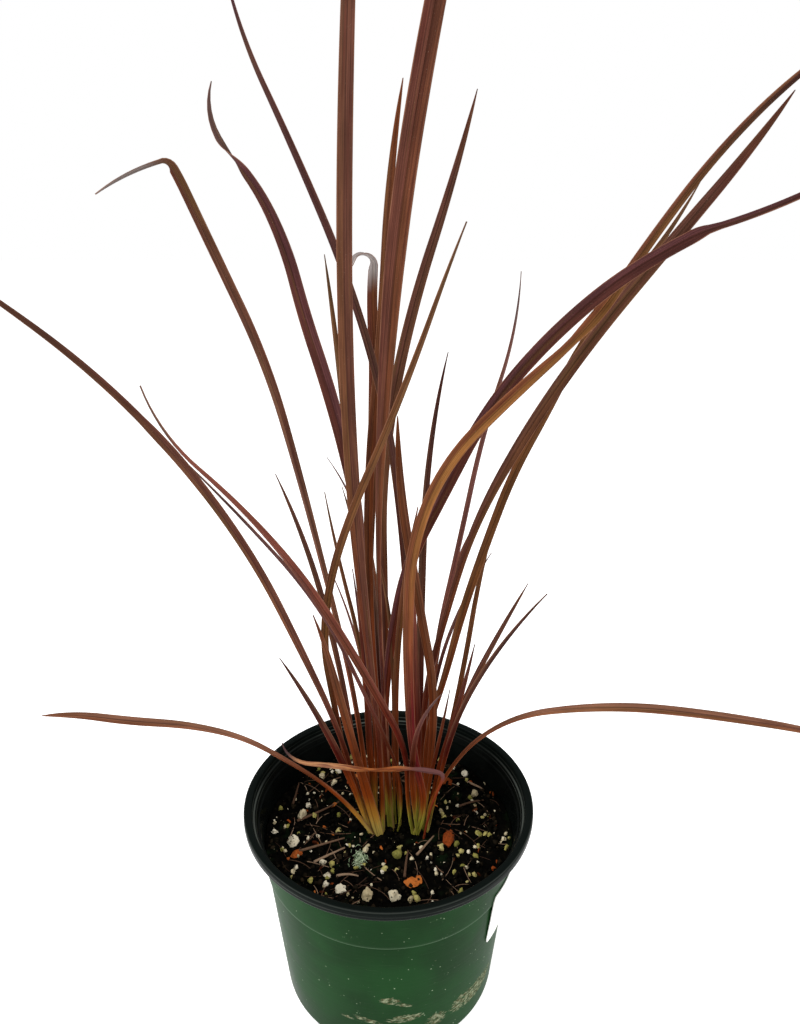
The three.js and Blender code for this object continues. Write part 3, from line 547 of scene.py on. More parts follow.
# The shoots: where the middle of each one is, its slot, and its leaves. A leaf's row has its
# foot, length, width, heading and look, and its lean, sway and twist in degrees at even steps
# from root to tip. They are as in the solids, except for the twist of the front left shoot's tan
# leaf and of the withered one.
SHOOTS = {
    "shoot_front_left": ((-7.4, -2.6), "maroon_leaf", [
        Leaf((-3.7, -2), 515, 7.2, 180, "brown", [-1, 5, 4, 1, -2, -4, -24], [3, 2, 6],
             [55, 75, 92, 88, 80], root=0.5, opens=(0.1, 0.45)),
        Leaf((-10, -3), 385, 4.6, 180, "brown", [12, 12, 18, 19, 27, 36, 47, 53], [6, 8, 9],
             [60, 80, 100, 100], hook=(0.67, 0, 50)),
        Leaf((-11.5, -1.5), 350, 4.2, 0, "olive", [-17, -10, -7, -6, 8, 18, 23, 21, 19, 21],
             [-6, -5, -6], [70, 95, 120], taper=0.55),
        Leaf((-11.5, -3), 140, 4.2, 180, "dark", [10, 18, 25], [10, 9, 10], [80, 110], taper=0.3),
        Leaf((-6, -4.4), 160, 4.8, 180, "rust", [10, 11, 10, 10, 10, 16], [8, 8, 8], [80, 100, 70],
             root=1.6, opens=(0.05, 0.4), taper=0.5),
        Leaf((-10, -4.6), 205, 4.6, 186, "tan", [27, 36, 47, 51, 69, 80, 75, 90], [2, 2],
             [60, 60, 88, 118, 125], root=0.8, opens=(0.5, 0.78), taper=0.8),
    ]),
    "shoot_left": ((-9.2, 8), "purple_leaf", [
        Leaf((-9, 6), 425, 5.6, 180, "dusty", [7, 7, 12, 13, 15, 25, 25, 49], [-3, -9, -12],
             [65, 80, 85, 80], root=0.6, opens=(0.3, 0.72), taper=0.86,
             hook=(0.885, 71, -65, 0.018)),
        Leaf((-8, 8), 415, 7.8, 180, "plum", [2, 4, 2, 3, 1, 2, 11, 15, 18, 14, 26, 45, -18],
             [-3, -8, -11], [100, 90, 85, 90, 100, 95, 90, 90, 85], root=0.5, opens=(0.2, 0.6),
             hook=(0.885, -2, -150, 0.05)),
        Leaf((-11, 4), 225, 3.4, 180, "brown", [10, 7, 11, 20], [-2, 2, 6], [70, 105]),
        Leaf((-8, 6), 200, 2.6, 180, "olive", [7, 1, 14, 10], [-8, -11, -11], [110, 70]),
        Leaf((-7.5, 11), 200, 3, 180, "olive", [-1, 3, 5, 18], [-4, -14, -14], [60, 100]),
        Leaf((-7, 9), 150, 3.4, 180, "plum", [6, 4, 9], [-10, -22, -16], [95, 60], taper=0.3),
        Leaf((-9, 11), 150, 1.8, 180, "rosy", [8, 1, 17, 28], [-24, -30, -22], [60, 80]),
    ]),
    "shoot_centre": ((3.5, 1.5), "maroon_leaf", [
        Leaf((2, 1), 525, 9.9, 0, "maroon", [-4, -2, -1, 3, 5, 10, 13, 20], [-1, -7, -7],
             [40, 38, 50, 65, 75, 80], root=0.33, opens=(0.3, 0.64), taper=0.62),
        Leaf((0.5, 1.5), 470, 7, 0, "plum", [-2, -3, 5, 11, 24, 23, 34, 43, 58, 45, 75],
             [10, 3, -10, -26, -12], [70, 90, 80, 85, 85], hook=(0.8, 15, -65, 0.02)),
        Leaf((5.5, -1), 265, 2.4, 180, "rosy", [-9, 18, 20, 36, 41], [9, 6, 2], [90, 70]),
        Leaf((6.5, 3), 200, 3.6, 0, "rust", [-3, -1, 5, 11], [-1, 1, 3], [60, 110]),
        Leaf((4, 4), 170, 2.6, 180, "olive", [3, -1, 3, 14], [-3, -7, -9], [110, 80]),
    ]),
    "shoot_back": ((0.3, 14), "purple_leaf", [
        Leaf((2, 12), 415, 6.8, 0, "brown", [-5, 0, -2, 11, 19, 15], [9, 13, 16], [110, 80, 95],
             root=0.42, opens=(0.15, 0.62), taper=0.58),
        Leaf((-1, 13), 410, 5.6, 0, "rust", [-5, -5, 0, 6, 3, 10], [13, 12, 6], [60, 95, 110],
             taper=0.75),
        Leaf((-2, 13), 342, 6.2, 180, "grey", [4, 8, 5, 4, 2, -1, -3, -3, -1, -1, 3, -3, -24],
             [-13, -14, -13], [75, 90, 90, 90, 90, 90, 50], taper=0.94, hook=(0.93, 177, -95)),
        Leaf((-2.5, 14), 335, 4.2, 180, "olive", [6, 5, 8, 6, 8], [-18, -24, -12], [95, 60, 90],
             taper=0.7),
        Leaf((-1.5, 16), 220, 2.2, 180, "plum", [4, 3, 8, 39], [-15, -29, -18], [60, 100]),
        Leaf((0.5, 12), 165, 5.4, 180, "dark", [3, 5, 6], [-17, -18, -23], [110, 80], taper=0.3),
        Leaf((0, 16), 235, 4, 95, "maroon", [14, 28, 52, 84, 98], [0, 4], [10, -15]),
    ]),
    "shoot_front": ((15.7, -4), "red_leaf", [
        Leaf((16, -4), 515, 5.8, 0, "gold", [16, -12, -3, -1, 2, 20, 44, 49, 33, 37, 46, 57, 78],
             [-10, -3, 8, 12], [90, 95, 100, 95, 90, 75, 25, 45, 50, 50, 50], root=0.8,
             opens=(0, 0.3), hook=(0.61, 0, 70)),
        Leaf((14, -3), 305, 4.6, 180, "red", [9, 0, 22, 23, 26, 34, 42, 12], [8, 10, 6],
             [70, 100, 95, 60, 45]),
        Leaf((16.5, -5), 120, 3.5, 0, "rosy", [-6, -3, 6, 34], [-9, -15, -13], [110, 80],
             taper=0.3),
    ]),
    "shoot_back_right": ((17.6, 8.5), "olive_leaf", [
        Leaf((15.5, 8), 490, 4.6, 180, "deep", [4, 1, 3, 8, 17, 24, 26, 10], [-9, -13, -14],
             [80, 100, 60]),
        Leaf((18.5, 6.5), 435, 7, 0, "brown", [7, -3, 13, 15, 27, 33, 38, 39, 34], [2, 3, 4],
             [60, 75, 100, 80], opens=(0.35, 0.64), taper=0.74),
        Leaf((19.5, 10), 330, 3.4, 0, "rosy", [4, 4, 14, 13, 20, 3], [14, 21, 22], [100, 60],
             taper=0.5),
        Leaf((18, 6), 275, 4.8, 0, "dark", [0, 0, 3, 14], [7, 16, 18], [120, 70], taper=0.4),
        Leaf((17, 6), 165, 5.2, 180, "red", [0, 2, 2], [-1, -8, -9], [75, 100], taper=0.3),
        Leaf((19, 11.5), 165, 2.4, 0, "rosy", [7, 5, 24, 35], [14, 28, 16], [60, 90]),
        Leaf((18, 12), 210, 3.6, 75, "maroon", [12, 22, 40, 70, 92], [0, -3], [15, -10]),
    ]),
    "shoot_right": ((21.6, 0.3), "purple_leaf", [
        Leaf((21, 2.5), 395, 5, 0, "olive", [2, -2, 16, 13, 18, 20, 29, 27, 42, 38, 31],
             [0, 12, 17], [100, 75, 90]),
        Leaf((22.6, -1.4), 290, 5.4, 352, "tan", [-3, 23, 32, 53, 76, 83, 91, 94, 96, 101, 103],
             [0, 0], [80, 50, 35, 50], root=0.42, opens=(0.2, 0.62)),
        Leaf((20.5, 1.5), 250, 5, 180, "rust", [-4, -3, 10, 9, 0], [3, 2, -4], [60, 110],
             taper=0.75),
        Leaf((22.5, 2.4), 190, 3.2, 0, "olive", [13, 12, 9, 17], [11, 13, 17], [110, 70]),
        Leaf((23.4, -0.4), 185, 2.8, 0, "dark", [7, 9, 22, 33], [-6, -12, -14], [75, 100]),
        Leaf((23.5, 1), 160, 3.3, 0, "brown", [9, 14, 26, 30], [7, 7, 11], [100, 70]),
        Leaf((22.2, 0.6), 120, 4, 0, "maroon", [7, 15, 12], [1, 6, 8], [60, 90], taper=0.3),
        Leaf((21, 0.5), 105, 2.4, 0, "plum", [1, 9, 7], [-5, -8, -7], [120, 90], taper=0.3),
    ]),
}
WITHERED_LEAF = Leaf((20.4, -7.8), 150, 3.4, 180, "dry",
                     [-5, -8, -15, -19, 2, -13, -6, -86], [15, 12, 4, 0, -2],
                     [80, 80, 80, 80, 80, 80, 80, 82, 88, 95, 62,
                      105, 75, 65, 105, 118, 125, 120, 108, 90, 75],
                     root=0.45, opens=(0.33, 0.42), hook=(0.35, 92, 0))


def pot_outside(z):
    """Radius of the pot's outside at a height below the flare under its lip"""
    if z > BAND_LOW:
        share = (z - BAND_LOW) / (BAND_HEIGHT - LIP_HEIGHT - FLARE_HEIGHT)
        return lerp(BAND_LOW_RADIUS, BAND_TOP_RADIUS, share)
    return lerp(FOOT_RADIUS, BAND_LOW_RADIUS - STEP, (z - FOOT_ROUND) / (BAND_LOW - FOOT_ROUND))


def arc(centre, radius, start, end, steps=5):
    """Points of an arc in a profile, angles in degrees from the radial direction"""
    angles = np.radians(np.linspace(start, end, steps))
    return [(centre[0] + radius * math.cos(a), centre[1] + radius * math.sin(a)) for a in angles]


def turned(profile, sides):
    """Points and faces of a profile turned about +Z. A point on the axis becomes one vertex"""
    points, rings, faces, owners = [], [], [], []
    for r, z in profile:
        count = 1 if r == 0 else sides
        rings.append([len(points) + i % count for i in range(sides)])
        for i in range(count):
            angle = 2 * math.pi * i / sides
            points.append((r * math.cos(angle), r * math.sin(angle), z))
    for row in range(len(profile) - 1):
        a, b = rings[row], rings[row + 1]
        for i in range(sides):
            j = (i + 1) % sides
            faces.append(list(dict.fromkeys([a[i], a[j], b[j], b[i]])))
            owners.append(row)
    return points, faces, owners


def mark_creases(mesh, degrees):
    """Edges sharper than the limit shade as edges, and the rest shade smooth"""
    shape = bmesh.new()
    shape.from_mesh(mesh)
    for edge in shape.edges:
        edge.smooth = edge.calc_face_angle(0) < math.radians(degrees)
    shape.to_mesh(mesh)
    shape.free()


def pot_profile():
    """The outside from the base's middle up to the lip, and then the inside down again"""
    lip_low = POT_HEIGHT - LIP_HEIGHT
    flare_low = lip_low - FLARE_HEIGHT
    outer = RIM_RADIUS - LIP_ROUND
    inner = RIM_RADIUS - RIM_WIDTH
    across, down = BAND_BEVEL
    outside = [(0, 0)]
    outside += arc((FOOT_RADIUS - FOOT_ROUND, FOOT_ROUND), FOOT_ROUND, -90, -4, 7)
    outside += [(pot_outside(z), z) for z in np.linspace(FOOT_ROUND + 1, BAND_LOW - STEP, 14)]
    outside += [(BAND_LOW_RADIUS - across, BAND_LOW - down), (BAND_LOW_RADIUS, BAND_LOW)]
    outside += [(pot_outside(z), z) for z in np.linspace(BAND_LOW + 2, flare_low, 6)]
    for t in np.linspace(0, 1, 7)[1:]:
        radius = lerp(BAND_TOP_RADIUS, FLARE_RADIUS, t ** FLARE_POWER)
        outside.append((radius, flare_low + FLARE_HEIGHT * t))
    lip = [(outer - LIP_OVERHANG, lip_low)]
    lip += arc((outer, lip_low + LIP_ROUND), LIP_ROUND, -90, 0)
    lip += arc((outer, POT_HEIGHT - LIP_ROUND), LIP_ROUND, 0, 90)
    lip += arc((inner, POT_HEIGHT - LIP_ROUND), LIP_ROUND, 90, 180)
    ledges = [(r, POT_HEIGHT - down) for r, down in LEDGES] + [(NECK_RADIUS, flare_low)]
    walls = [(pot_outside(z) - WALL, z) for z in np.linspace(flare_low - 1, BAND_LOW, 5)]
    walls += [(pot_outside(z) - WALL, z) for z in np.linspace(BAND_LOW - STEP, FOOT_ROUND, 5)]
    base = [(FOOT_RADIUS - FOOT_ROUND, WALL), (0, WALL)]
    return outside, lip + ledges + walls + base


# Scuffs of dried mud on the pot's front: where their middle is round the wall from the front and
# up from the floor, how long and wide they are, in millimetres, and their slope in degrees
SCUFFS = [
    (55, 23, 36, 15, 3), (43, 24, 16, 13, 20), (27, 21, 12, 12, 40), (9, 29, 20, 7, 5),
    (-11, 27, 16, 4, -14), (-22, 26, 8, 2.4, 0), (1, 45, 12, 6, -8), (8, 41, 9, 3, -18),
]


def scuffed(s, turn, up):
    """How near a place on the unrolled wall is to a scuff: 1 in its middle, 0 past its edge"""
    near = 0
    for middle, height, long, wide, slope in SCUFFS:
        across = s.minus(turn, middle)
        above = s.minus(up, height)
        cos = math.cos(math.radians(slope))
        sin = math.sin(math.radians(slope))
        along = s.plus(s.times(across, cos), s.times(above, sin))
        beside = s.minus(s.times(above, cos), s.times(across, sin))
        parts = [
            s.math("POWER", s.math("ABSOLUTE", s.math("DIVIDE", way, size / 2)), 2)
            for way, size in ((along, long), (beside, wide))
        ]
        near = s.math("MAXIMUM", near, s.range(s.plus(*parts), 1.8, 0.2))
    return near


def green_plastic():
    """Moulded green plastic with a few pale specks, faint hoops and scuffs of dried mud"""
    s = Shader("green_pot_plastic", 1.5, 0.018)
    place = s.position()
    x, y, z = s.split(place)[0:3]
    cloud = s.noise(place, 26, 3)
    tone = s.mix(s.range(cloud, 0.35, 0.65), "#102d12", "#153818")
    hoops = s.noise(s.stretched(place, 4, 4, 420), 1, 2)
    scratches = s.noise(s.stretched(place, 60, 60, 900), 1, 3)
    worn = s.mix(s.range(scratches, 0.64, 0.78, 0, 0.2), tone, "#42603f")
    specks = s.range(s.cells(place, 420), 0.2, 0.07)
    sparse = s.range(s.noise(place, 130, 1), 0.58, 0.66)
    speckled = s.mix(s.times(specks, sparse), worn, "#8fa284")
    step = s.range(s.apart(z, BAND_LOW * MM), 0.9 * MM, 0.2 * MM, 0, 0.14)
    lined = s.mix(step, speckled, "#6f8f6c")

    turn = s.times(s.math("ARCTAN2", x, s.times(y, -1)), FOOT_RADIUS)
    up = s.math("DIVIDE", z, MM)
    smear = s.noise(s.join(s.times(turn, 0.28), s.times(up, 0.9), 0), 1, 4, 0.7)
    mud = s.range(s.plus(smear, s.times(scuffed(s, turn, up), 0.26)), 0.66, 0.8)
    wet = s.noise(s.join(s.times(turn, 0.5), s.times(up, 0.5), 4), 1, 3)
    dirt = s.mix(s.range(wet, 0.4, 0.62), "#8c9074", "#4f4832")
    s.set("Base Color", s.mix(s.times(mud, 0.8), lined, dirt))
    s.set("Roughness", s.plus(s.range(cloud, 0.3, 0.7, 0.3, 0.4), s.times(mud, 0.35)))
    s.bump(s.plus(hoops, s.times(mud, 1.5)), 0.05)
    return s.material


def black_plastic():
    """The pot's rim and inside, with fine painted highlights on the lip and on the ledges under it
    """
    s = Shader("black_pot_plastic", 1.5, 0.028)
    place = s.position()
    x, y, z = s.split(place)[0:3]
    cloud = s.noise(place, 60, 3)
    rings = s.noise(s.stretched(place, 6, 6, 700), 1, 2)
    dust = s.range(s.noise(place, 420, 3, 0.7), 0.64, 0.8, 0, 0.25)
    down = s.minus(POT_HEIGHT, s.math("DIVIDE", z, MM))
    lip = s.range(down, LIP_HEIGHT + 1, LIP_HEIGHT - 2.5)
    tone = s.mix(s.range(cloud, 0.35, 0.65), "#060807", "#0b0e0c")
    lipped = s.mix(lip, tone, "#0b100e")

    # Painted highlights: thin pale lines where light glints on the lip and on the ledges, and along
    # the lip's outer top edge
    lines = 0
    for depth, width in GLINT_LINES:
        lines = s.math("MAXIMUM", lines, s.range(s.apart(down, depth), width, width / 3))
    faded_glints = s.times(lines, s.range(s.noise(place, 22, 1), 0.35, 0.65, 0.1, 0.7))
    out = s.math("DIVIDE", s.math("SQRT", s.plus(s.times(x, x), s.times(y, y))), MM)
    brow = s.range(s.apart(down, EDGE_GLINT_DEPTH), 0.35, 0.1)
    edge_glint = s.times(s.times(brow, s.range(out, *EDGE_GLINT_RADII)), 0.22)
    # The painted highlights go over the black plastic in a pale grey-green
    worn = s.mix(s.math("MAXIMUM", faded_glints, edge_glint), lipped, "#555a54")
    s.set("Base Color", s.mix(dust, worn, "#34362e"))
    s.set("Roughness", s.range(cloud, 0.3, 0.7, 0.24, 0.36))
    s.bump(rings, 0.04)
    return s.material


def drain_cutter():
    """The solid of all the drain holes, as rods that go through the pot's base"""
    shape = bmesh.new()
    for i in range(DRAIN_HOLES):
        angle = (i + 0.5) * 2 * math.pi / DRAIN_HOLES
        hole = Vector((math.cos(angle), math.sin(angle), 0)) * DRAIN_CIRCLE * MM
        radius = DRAIN_RADIUS * MM
        bmesh.ops.create_cone(shape, cap_ends=True, segments=DRAIN_SIDES, radius1=radius,
                              radius2=radius, depth=6 * WALL * MM, matrix=Matrix.Translation(hole))
    mesh = bpy.data.meshes.new("drain_cutter")
    shape.to_mesh(mesh)
    shape.free()
    return add_object("drain_cutter", mesh)


def make_pot():
    """The pot, green outside and black from the lip on, with its drain holes cut"""
    outside, inside = pot_profile()
    points, faces, owners = turned(outside + inside, POT_SIDES)
    worn = [0 if row < len(outside) - 1 else 1 for row in owners]
    piece = mesh_object("nursery_pot", points, faces, [green_plastic(), black_plastic()], worn)
    cutter = drain_cutter()
    modifier = piece.modifiers.new("drain_holes", "BOOLEAN")
    modifier.operation = "DIFFERENCE"
    modifier.solver = "EXACT"
    modifier.object = cutter
    shown = piece.evaluated_get(bpy.context.evaluated_depsgraph_get())
    drilled = bpy.data.meshes.new_from_object(shown)
    piece.modifiers.clear()
    piece.data = drilled
    bpy.data.objects.remove(cutter)
    mark_creases(drilled, POT_CREASE)
    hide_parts("pot")


def label_paper():
    """Plain white paper, slightly cockled"""
    s = Shader("blank_label_paper", 1.45, 0.35)
    place = s.position()
    fibres = s.noise(place, 900, 3, 0.6)
    cockle = s.noise(place, 70, 2)
    s.set("Base Color", s.mix(s.range(fibres, 0.35, 0.65), "#e6e5e0", "#f3f2ee"))
    s.set("Roughness", s.range(cockle, 0.3, 0.7, 0.35, 0.55))
    s.bump(s.plus(cockle, s.times(fibres, 0.15)), 0.25)
    return s.material


def label_back(z):
    """Radius of the label's back, which spans the step under the pot's band"""
    if z > BAND_LOW:
        return pot_outside(z) + FIT_GAP
    share = (z - LABEL_LOW) / (BAND_LOW - LABEL_LOW)
    return lerp(pot_outside(LABEL_LOW), BAND_LOW_RADIUS, share) + FIT_GAP


def make_label():
    """A plain label bent round the pot and over the lower edge of its band"""
    straight = np.linspace(LABEL_LOW + LABEL_MARGIN, BAND_LOW, 12)
    heights = [LABEL_LOW, *straight, BAND_LOW + 2, LABEL_TOP - LABEL_MARGIN, LABEL_TOP]
    start, end = np.radians(LABEL_ANGLES)
    points, faces = [], []
    for depth in (0, LABEL_THICK):
        for z in heights:
            to_corner = max(0, 1 - min(z - LABEL_LOW, LABEL_TOP - z) / LABEL_CORNER)
            inset = LABEL_CORNER / BAND_LOW_RADIUS * (1 - math.sqrt(1 - to_corner ** 2))
            r = label_back(z) + depth
            for angle in np.linspace(start + inset, end - inset, LABEL_STEPS + 1):
                points.append((r * math.cos(angle), r * math.sin(angle), z))
    rows = len(heights)
    columns = LABEL_STEPS + 1
    outer = rows * columns
    for j in range(rows - 1):
        for i in range(columns - 1):
            a = j * columns + i
            faces.append([a, a + columns, a + columns + 1, a + 1])
            faces.append([outer + a, outer + a + 1, outer + a + columns + 1, outer + a + columns])
        left = j * columns
        right = left + columns - 1
        faces.append([left, outer + left, outer + left + columns, left + columns])
        faces.append([right + columns, outer + right + columns, outer + right, right])
    for i in range(columns - 1):
        top = (rows - 1) * columns + i
        faces.append([i, outer + i, outer + i + 1, i + 1])
        faces.append([top + 1, outer + top + 1, outer + top, top])
    piece = mesh_object("plain_label", points, faces, [label_paper()])
    mark_creases(piece.data, LABEL_CREASE)
    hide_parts("blank_label")


def soil_top(x, y):
    """Height of the mix's top before its crumbs, as in the solids"""
    wave = math.sin(x * 0.09 + 1) * math.cos(y * 0.07) + 0.5 * math.sin(x * 0.21 - y * 0.17)
    from_crown = math.hypot(x - CROWN[0], y - CROWN[1]) / CROWN_REACH
    return SOIL + SOIL_WAVE * wave - CROWN_DIP * math.exp(-(from_crown ** 4))


def crumbs(x, y):
    """Roughness of the mix in millimetres: clods, crumbs and grit"""
    height = 0
    for size, depth in CLODS:
        height += depth * noise.noise(Vector((x / size, y / size, size)))
    return height


def mix_material():
    """Dark damp mix, a little mossy, with pale flecks in places"""
    s = Shader("dark_potting_mix", 1.4, 0.015)
    place = s.position()
    clods = s.noise(place, 240, 4, 0.65)
    damp = s.noise(place, 60, 2)
    grit = s.range(s.cells(place, 900), 0.2, 0.08)
    tone = s.ramp(clods, ((0.35, "#020202"), (0.58, "#080705"), (0.78, "#1c170f")))
    mossy = s.mix(s.range(damp, 0.56, 0.7, 0, 0.5), tone, "#10200f")
    fleck = s.times(grit, s.range(s.noise(place, 310, 1), 0.62, 0.7))
    s.set("Base Color", s.mix(fleck, mossy, "#8d8468"))
    s.set("Roughness", s.range(damp, 0.3, 0.7, 0.5, 0.9))
    s.bump(clods, 0.6)
    return s.material


def make_mix():
    """The bed of potting mix: a crumbly top on a body that follows the pot's inside"""
    top = pot_outside(SOIL) - WALL - FIT_GAP
    walls = [
        (top, SOIL - 2 * SOIL_WAVE),
        (BAND_LOW_RADIUS - WALL - FIT_GAP, BAND_LOW),
        (pot_outside(BAND_LOW - STEP) - WALL - FIT_GAP, BAND_LOW - STEP),
        (FOOT_RADIUS - WALL - FIT_GAP, FOOT_ROUND),
        (FOOT_RADIUS - FOOT_ROUND - FIT_GAP, WALL + FIT_GAP),
        (0, WALL + FIT_GAP),
    ]
    radii = [top * i / SOIL_RINGS for i in range(SOIL_RINGS + 1)]
    profile = walls[::-1] + [(r, SOIL) for r in reversed(radii)]
    points, faces, _ = turned(profile, SOIL_SIDES)
    shaped = []
    for x, y, z in points:
        if z == SOIL:
            z = soil_top(x, y) + crumbs(x, y)
        shaped.append((x, y, z))
    piece = mesh_object("potting_mix_bed", shaped, faces, [mix_material()])
    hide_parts("potting_mix")


# Perlite and the prills of fertiliser that the solids hold: x, y, size in millimetres
PERLITE = [
    (3, -51, 7.4), (-11, -50, 6.3), (-25, -47, 6.4), (12, -52, 4.2), (24, -49, 3.4),
    (-33, -44, 3.8), (-33, -37, 4.9), (-52, -34, 3.4), (-36, -28, 4.4), (-54, -13, 7.4),
    (-52, 7, 7.7), (-49, 17, 4.2), (-43, 43, 5.1), (-33, 48, 5.1), (-35, 38, 3.8),
    (-13, -19, 5.1), (22, -25, 3.4), (26, -32, 2.9), (52, 12, 3), (52, 26, 6.2), (48, 45, 5.1),
    (41, 51, 3), (66, -11, 3.4), (-66, -5, 3.4), (10, 52, 5), (-12, 58, 4.2), (28, 60, 4.8),
]
PRILLS = [
    (-31, -29, 4.6), (5, -21, 5.6), (-2, -31, 3.9), (41, -31, 3.4), (39, -13, 4), (30, -17, 3.4),
    (41, -19, 3.4), (53, -6, 3.5),
]

# Bark chips, x, y, length, width and turn in degrees, and twigs, x, y, length and turn
CHIPS = [
    (14, -40, 15, 8, 8), (34, -9, 16, 8, 80), (-52, -21, 8, 5, 30), (35, 38, 12, 7, -30),
    (-20, 44, 10, 6, 60),
]
TWIGS = [
    (-38, -14, 27, 22), (-33, -22, 20, 36), (-42, 12, 30, 36), (21, -15, 18, 56), (10, -28, 19, 84),
    (-22, -38, 12, 3), (54, 34, 12, -38), (50, 19, 16, 16), (-58, 28, 20, 86), (4, 40, 22, -20),
]


def ball(subdivisions):
    """Points and faces of a unit sphere of triangles"""
    shape = bmesh.new()
    bmesh.ops.create_icosphere(shape, subdivisions=subdivisions, radius=1)
    points = np.array([v.co for v in shape.verts])
    faces = [[v.index for v in face.verts] for face in shape.faces]
    shape.free()
    return points, faces


BALLS = {n: ball(n) for n in (2, 3, 4)}


def lump(rng, size, lumps, detail, cuts, flat=1):
    """A lumpy body round the origin, broken off flat on some of its sides"""
    points, faces = BALLS[detail]
    axes = np.array([rng.uniform(*span) for span in GRAIN_AXES]) * [1, 1, flat]
    shift = Vector([rng.uniform(0, GRAIN_SHIFT) for _ in range(3)])
    radius = []
    for p in points:
        coarse = noise.noise(Vector(p) * 1.6 + shift)
        fine = noise.noise(Vector(p) * 4 + shift)
        radius.append(1 + lumps * coarse + 0.5 * lumps * fine)
    shaped = points * np.array(radius)[:, None]
    for _ in range(cuts):
        side = np.array(Vector([rng.gauss(0, 1) for _ in range(3)]).normalized())
        over = np.maximum(0, shaped @ side - rng.uniform(*GRAIN_BREAKS))
        shaped = shaped - over[:, None] * side
    turn = np.array(Euler([rng.uniform(*ANY_TURN) for _ in range(3)]).to_matrix())
    return (shaped * axes * size / 2) @ turn.T, faces


def grain(rng, x, y, size, flat=1, **shape):
    """A lump that sits in the mix"""
    points, faces = lump(rng, size, flat=flat, **shape)
    rise = size * (0.5 - GRAIN_SINK) * flat
    return points + [x, y, soil_top(x, y) + rise], faces


def anywhere(rng, off_crown=True, reach=GRIT_REACH):
    """A random place on the mix"""
    (middle_x, middle_y), (half_x, half_y) = CLEAR_OVAL
    while True:
        r = reach * math.sqrt(rng.random())
        angle = rng.uniform(0, 2 * math.pi)
        x, y = r * math.cos(angle), r * math.sin(angle)
        if not off_crown or math.hypot((x - middle_x) / half_x, (y - middle_y) / half_y) > 1:
            return x, y


def strand(rng, start, turn, long, radius, arch, sides=5, steps=9, bends=0.12):
    """A thin tube that lies on the mix, bent sideways and a little arched"""
    points, faces = [], []
    direction = np.array([math.cos(turn), math.sin(turn)])
    across = np.array([-direction[1], direction[0]])
    bend = rng.uniform(-bends, bends) * long
    for i in range(steps):
        t = i / (steps - 1)
        bulge = 1 - (2 * t - 1) ** 2
        spot = np.array(start) + direction * long * (t - 0.5) + across * bend * bulge
        z = soil_top(*spot) + radius + arch * bulge + STRAND_LIFT
        taper = radius * (1 - STRAND_TAPER * t)
        for k in range(sides):
            angle = 2 * math.pi * k / sides
            x, y = spot + across * taper * math.cos(angle)
            points.append((x, y, z + taper * math.sin(angle)))
    for i in range(steps - 1):
        for k in range(sides):
            a = i * sides + k
            b = i * sides + (k + 1) % sides
            faces.append([a, a + sides, b + sides, b])
    faces.append(list(range(sides)))
    faces.append(list(range((steps - 1) * sides, steps * sides))[::-1])
    return points, faces


class Heap:
    """Many small bodies gathered into one piece, each with a random mark for its colour"""

    def __init__(self, rng):
        self.rng = rng
        self.points, self.faces, self.marks = [], [], []

    def add(self, points, faces):
        start = len(self.points)
        mark = [self.rng.random() for _ in range(3)]
        self.points += [tuple(p) for p in points]
        self.faces += [[start + i for i in face] for face in faces]
        self.marks += [mark] * len(points)

    def scatter(self, loose, off_crown=True, **shape):
        """Add loose grains anywhere on the mix"""
        count, least, greatest = loose
        for _ in range(count):
            x, y = anywhere(self.rng, off_crown)
            size = self.rng.uniform(least, greatest)
            self.add(*grain(self.rng, x, y, size, **shape))

    def piece(self, name, material, slot):
        marks = {"mark": self.marks}
        made = mesh_object(name, self.points, self.faces, [material], attributes=marks)


def grain_material(name, tones, rough, bump_depth, pits=0, gloss=0.04):
    """Grains that differ from one to the next, with a speckled surface and painted shade in small
    pits
    """
    s = Shader(name, 1.45, gloss)
    place = s.position()
    own = s.split(s.attribute("mark"))[0]
    speckle = s.noise(place, 700, 4, 0.65)
    spread = s.plus(s.times(own, 0.7), s.times(speckle, 0.3))
    tone = s.ramp(spread, tones)
    # Painted shade: the small pits are drawn dark, as shade falls in them, as well as dented by the
    # bump
    holes = s.times(s.range(s.cells(place, 520), 0.3, 0.16), pits)
    grime = s.range(s.noise(place, 260, 3), 0.56, 0.7, 0, pits * 0.5)
    dirty = s.mix(grime, tone, "#6b5c3e")
    s.set("Base Color", s.mix(holes, dirty, "#2c261b"))
    s.set("Roughness", s.range(speckle, 0.3, 0.7, rough - 0.1, rough + 0.1))
    s.bump(s.minus(speckle, holes), bump_depth)
    return s.material


def make_perlite(rng):
    heap = Heap(rng)
    for x, y, size in PERLITE:
        heap.add(*grain(rng, x, y, size, lumps=0.42, detail=4, cuts=6))
    heap.scatter(LOOSE_PERLITE, lumps=0.4, detail=2, cuts=4)
    tones = ((0.1, "#a5946e"), (0.5, "#c8bb9a"), (0.9, "#ddd5c0"))
    heap.piece("perlite", grain_material("perlite_grains", tones, 0.85, 0.6, 0.85), "mix")


def make_prills(rng):
    heap = Heap(rng)
    for x, y, size in PRILLS:
        heap.add(*grain(rng, x, y, size, lumps=0.3, detail=3, cuts=3))
    heap.scatter(LOOSE_PRILLS, lumps=0.4, detail=3, cuts=4)
    tones = ((0.1, "#66662e"), (0.5, "#98904e"), (0.9, "#b6a874"))
    heap.piece("prills", grain_material("prill_grains", tones, 0.45, 0.2, 0.3), "mix")


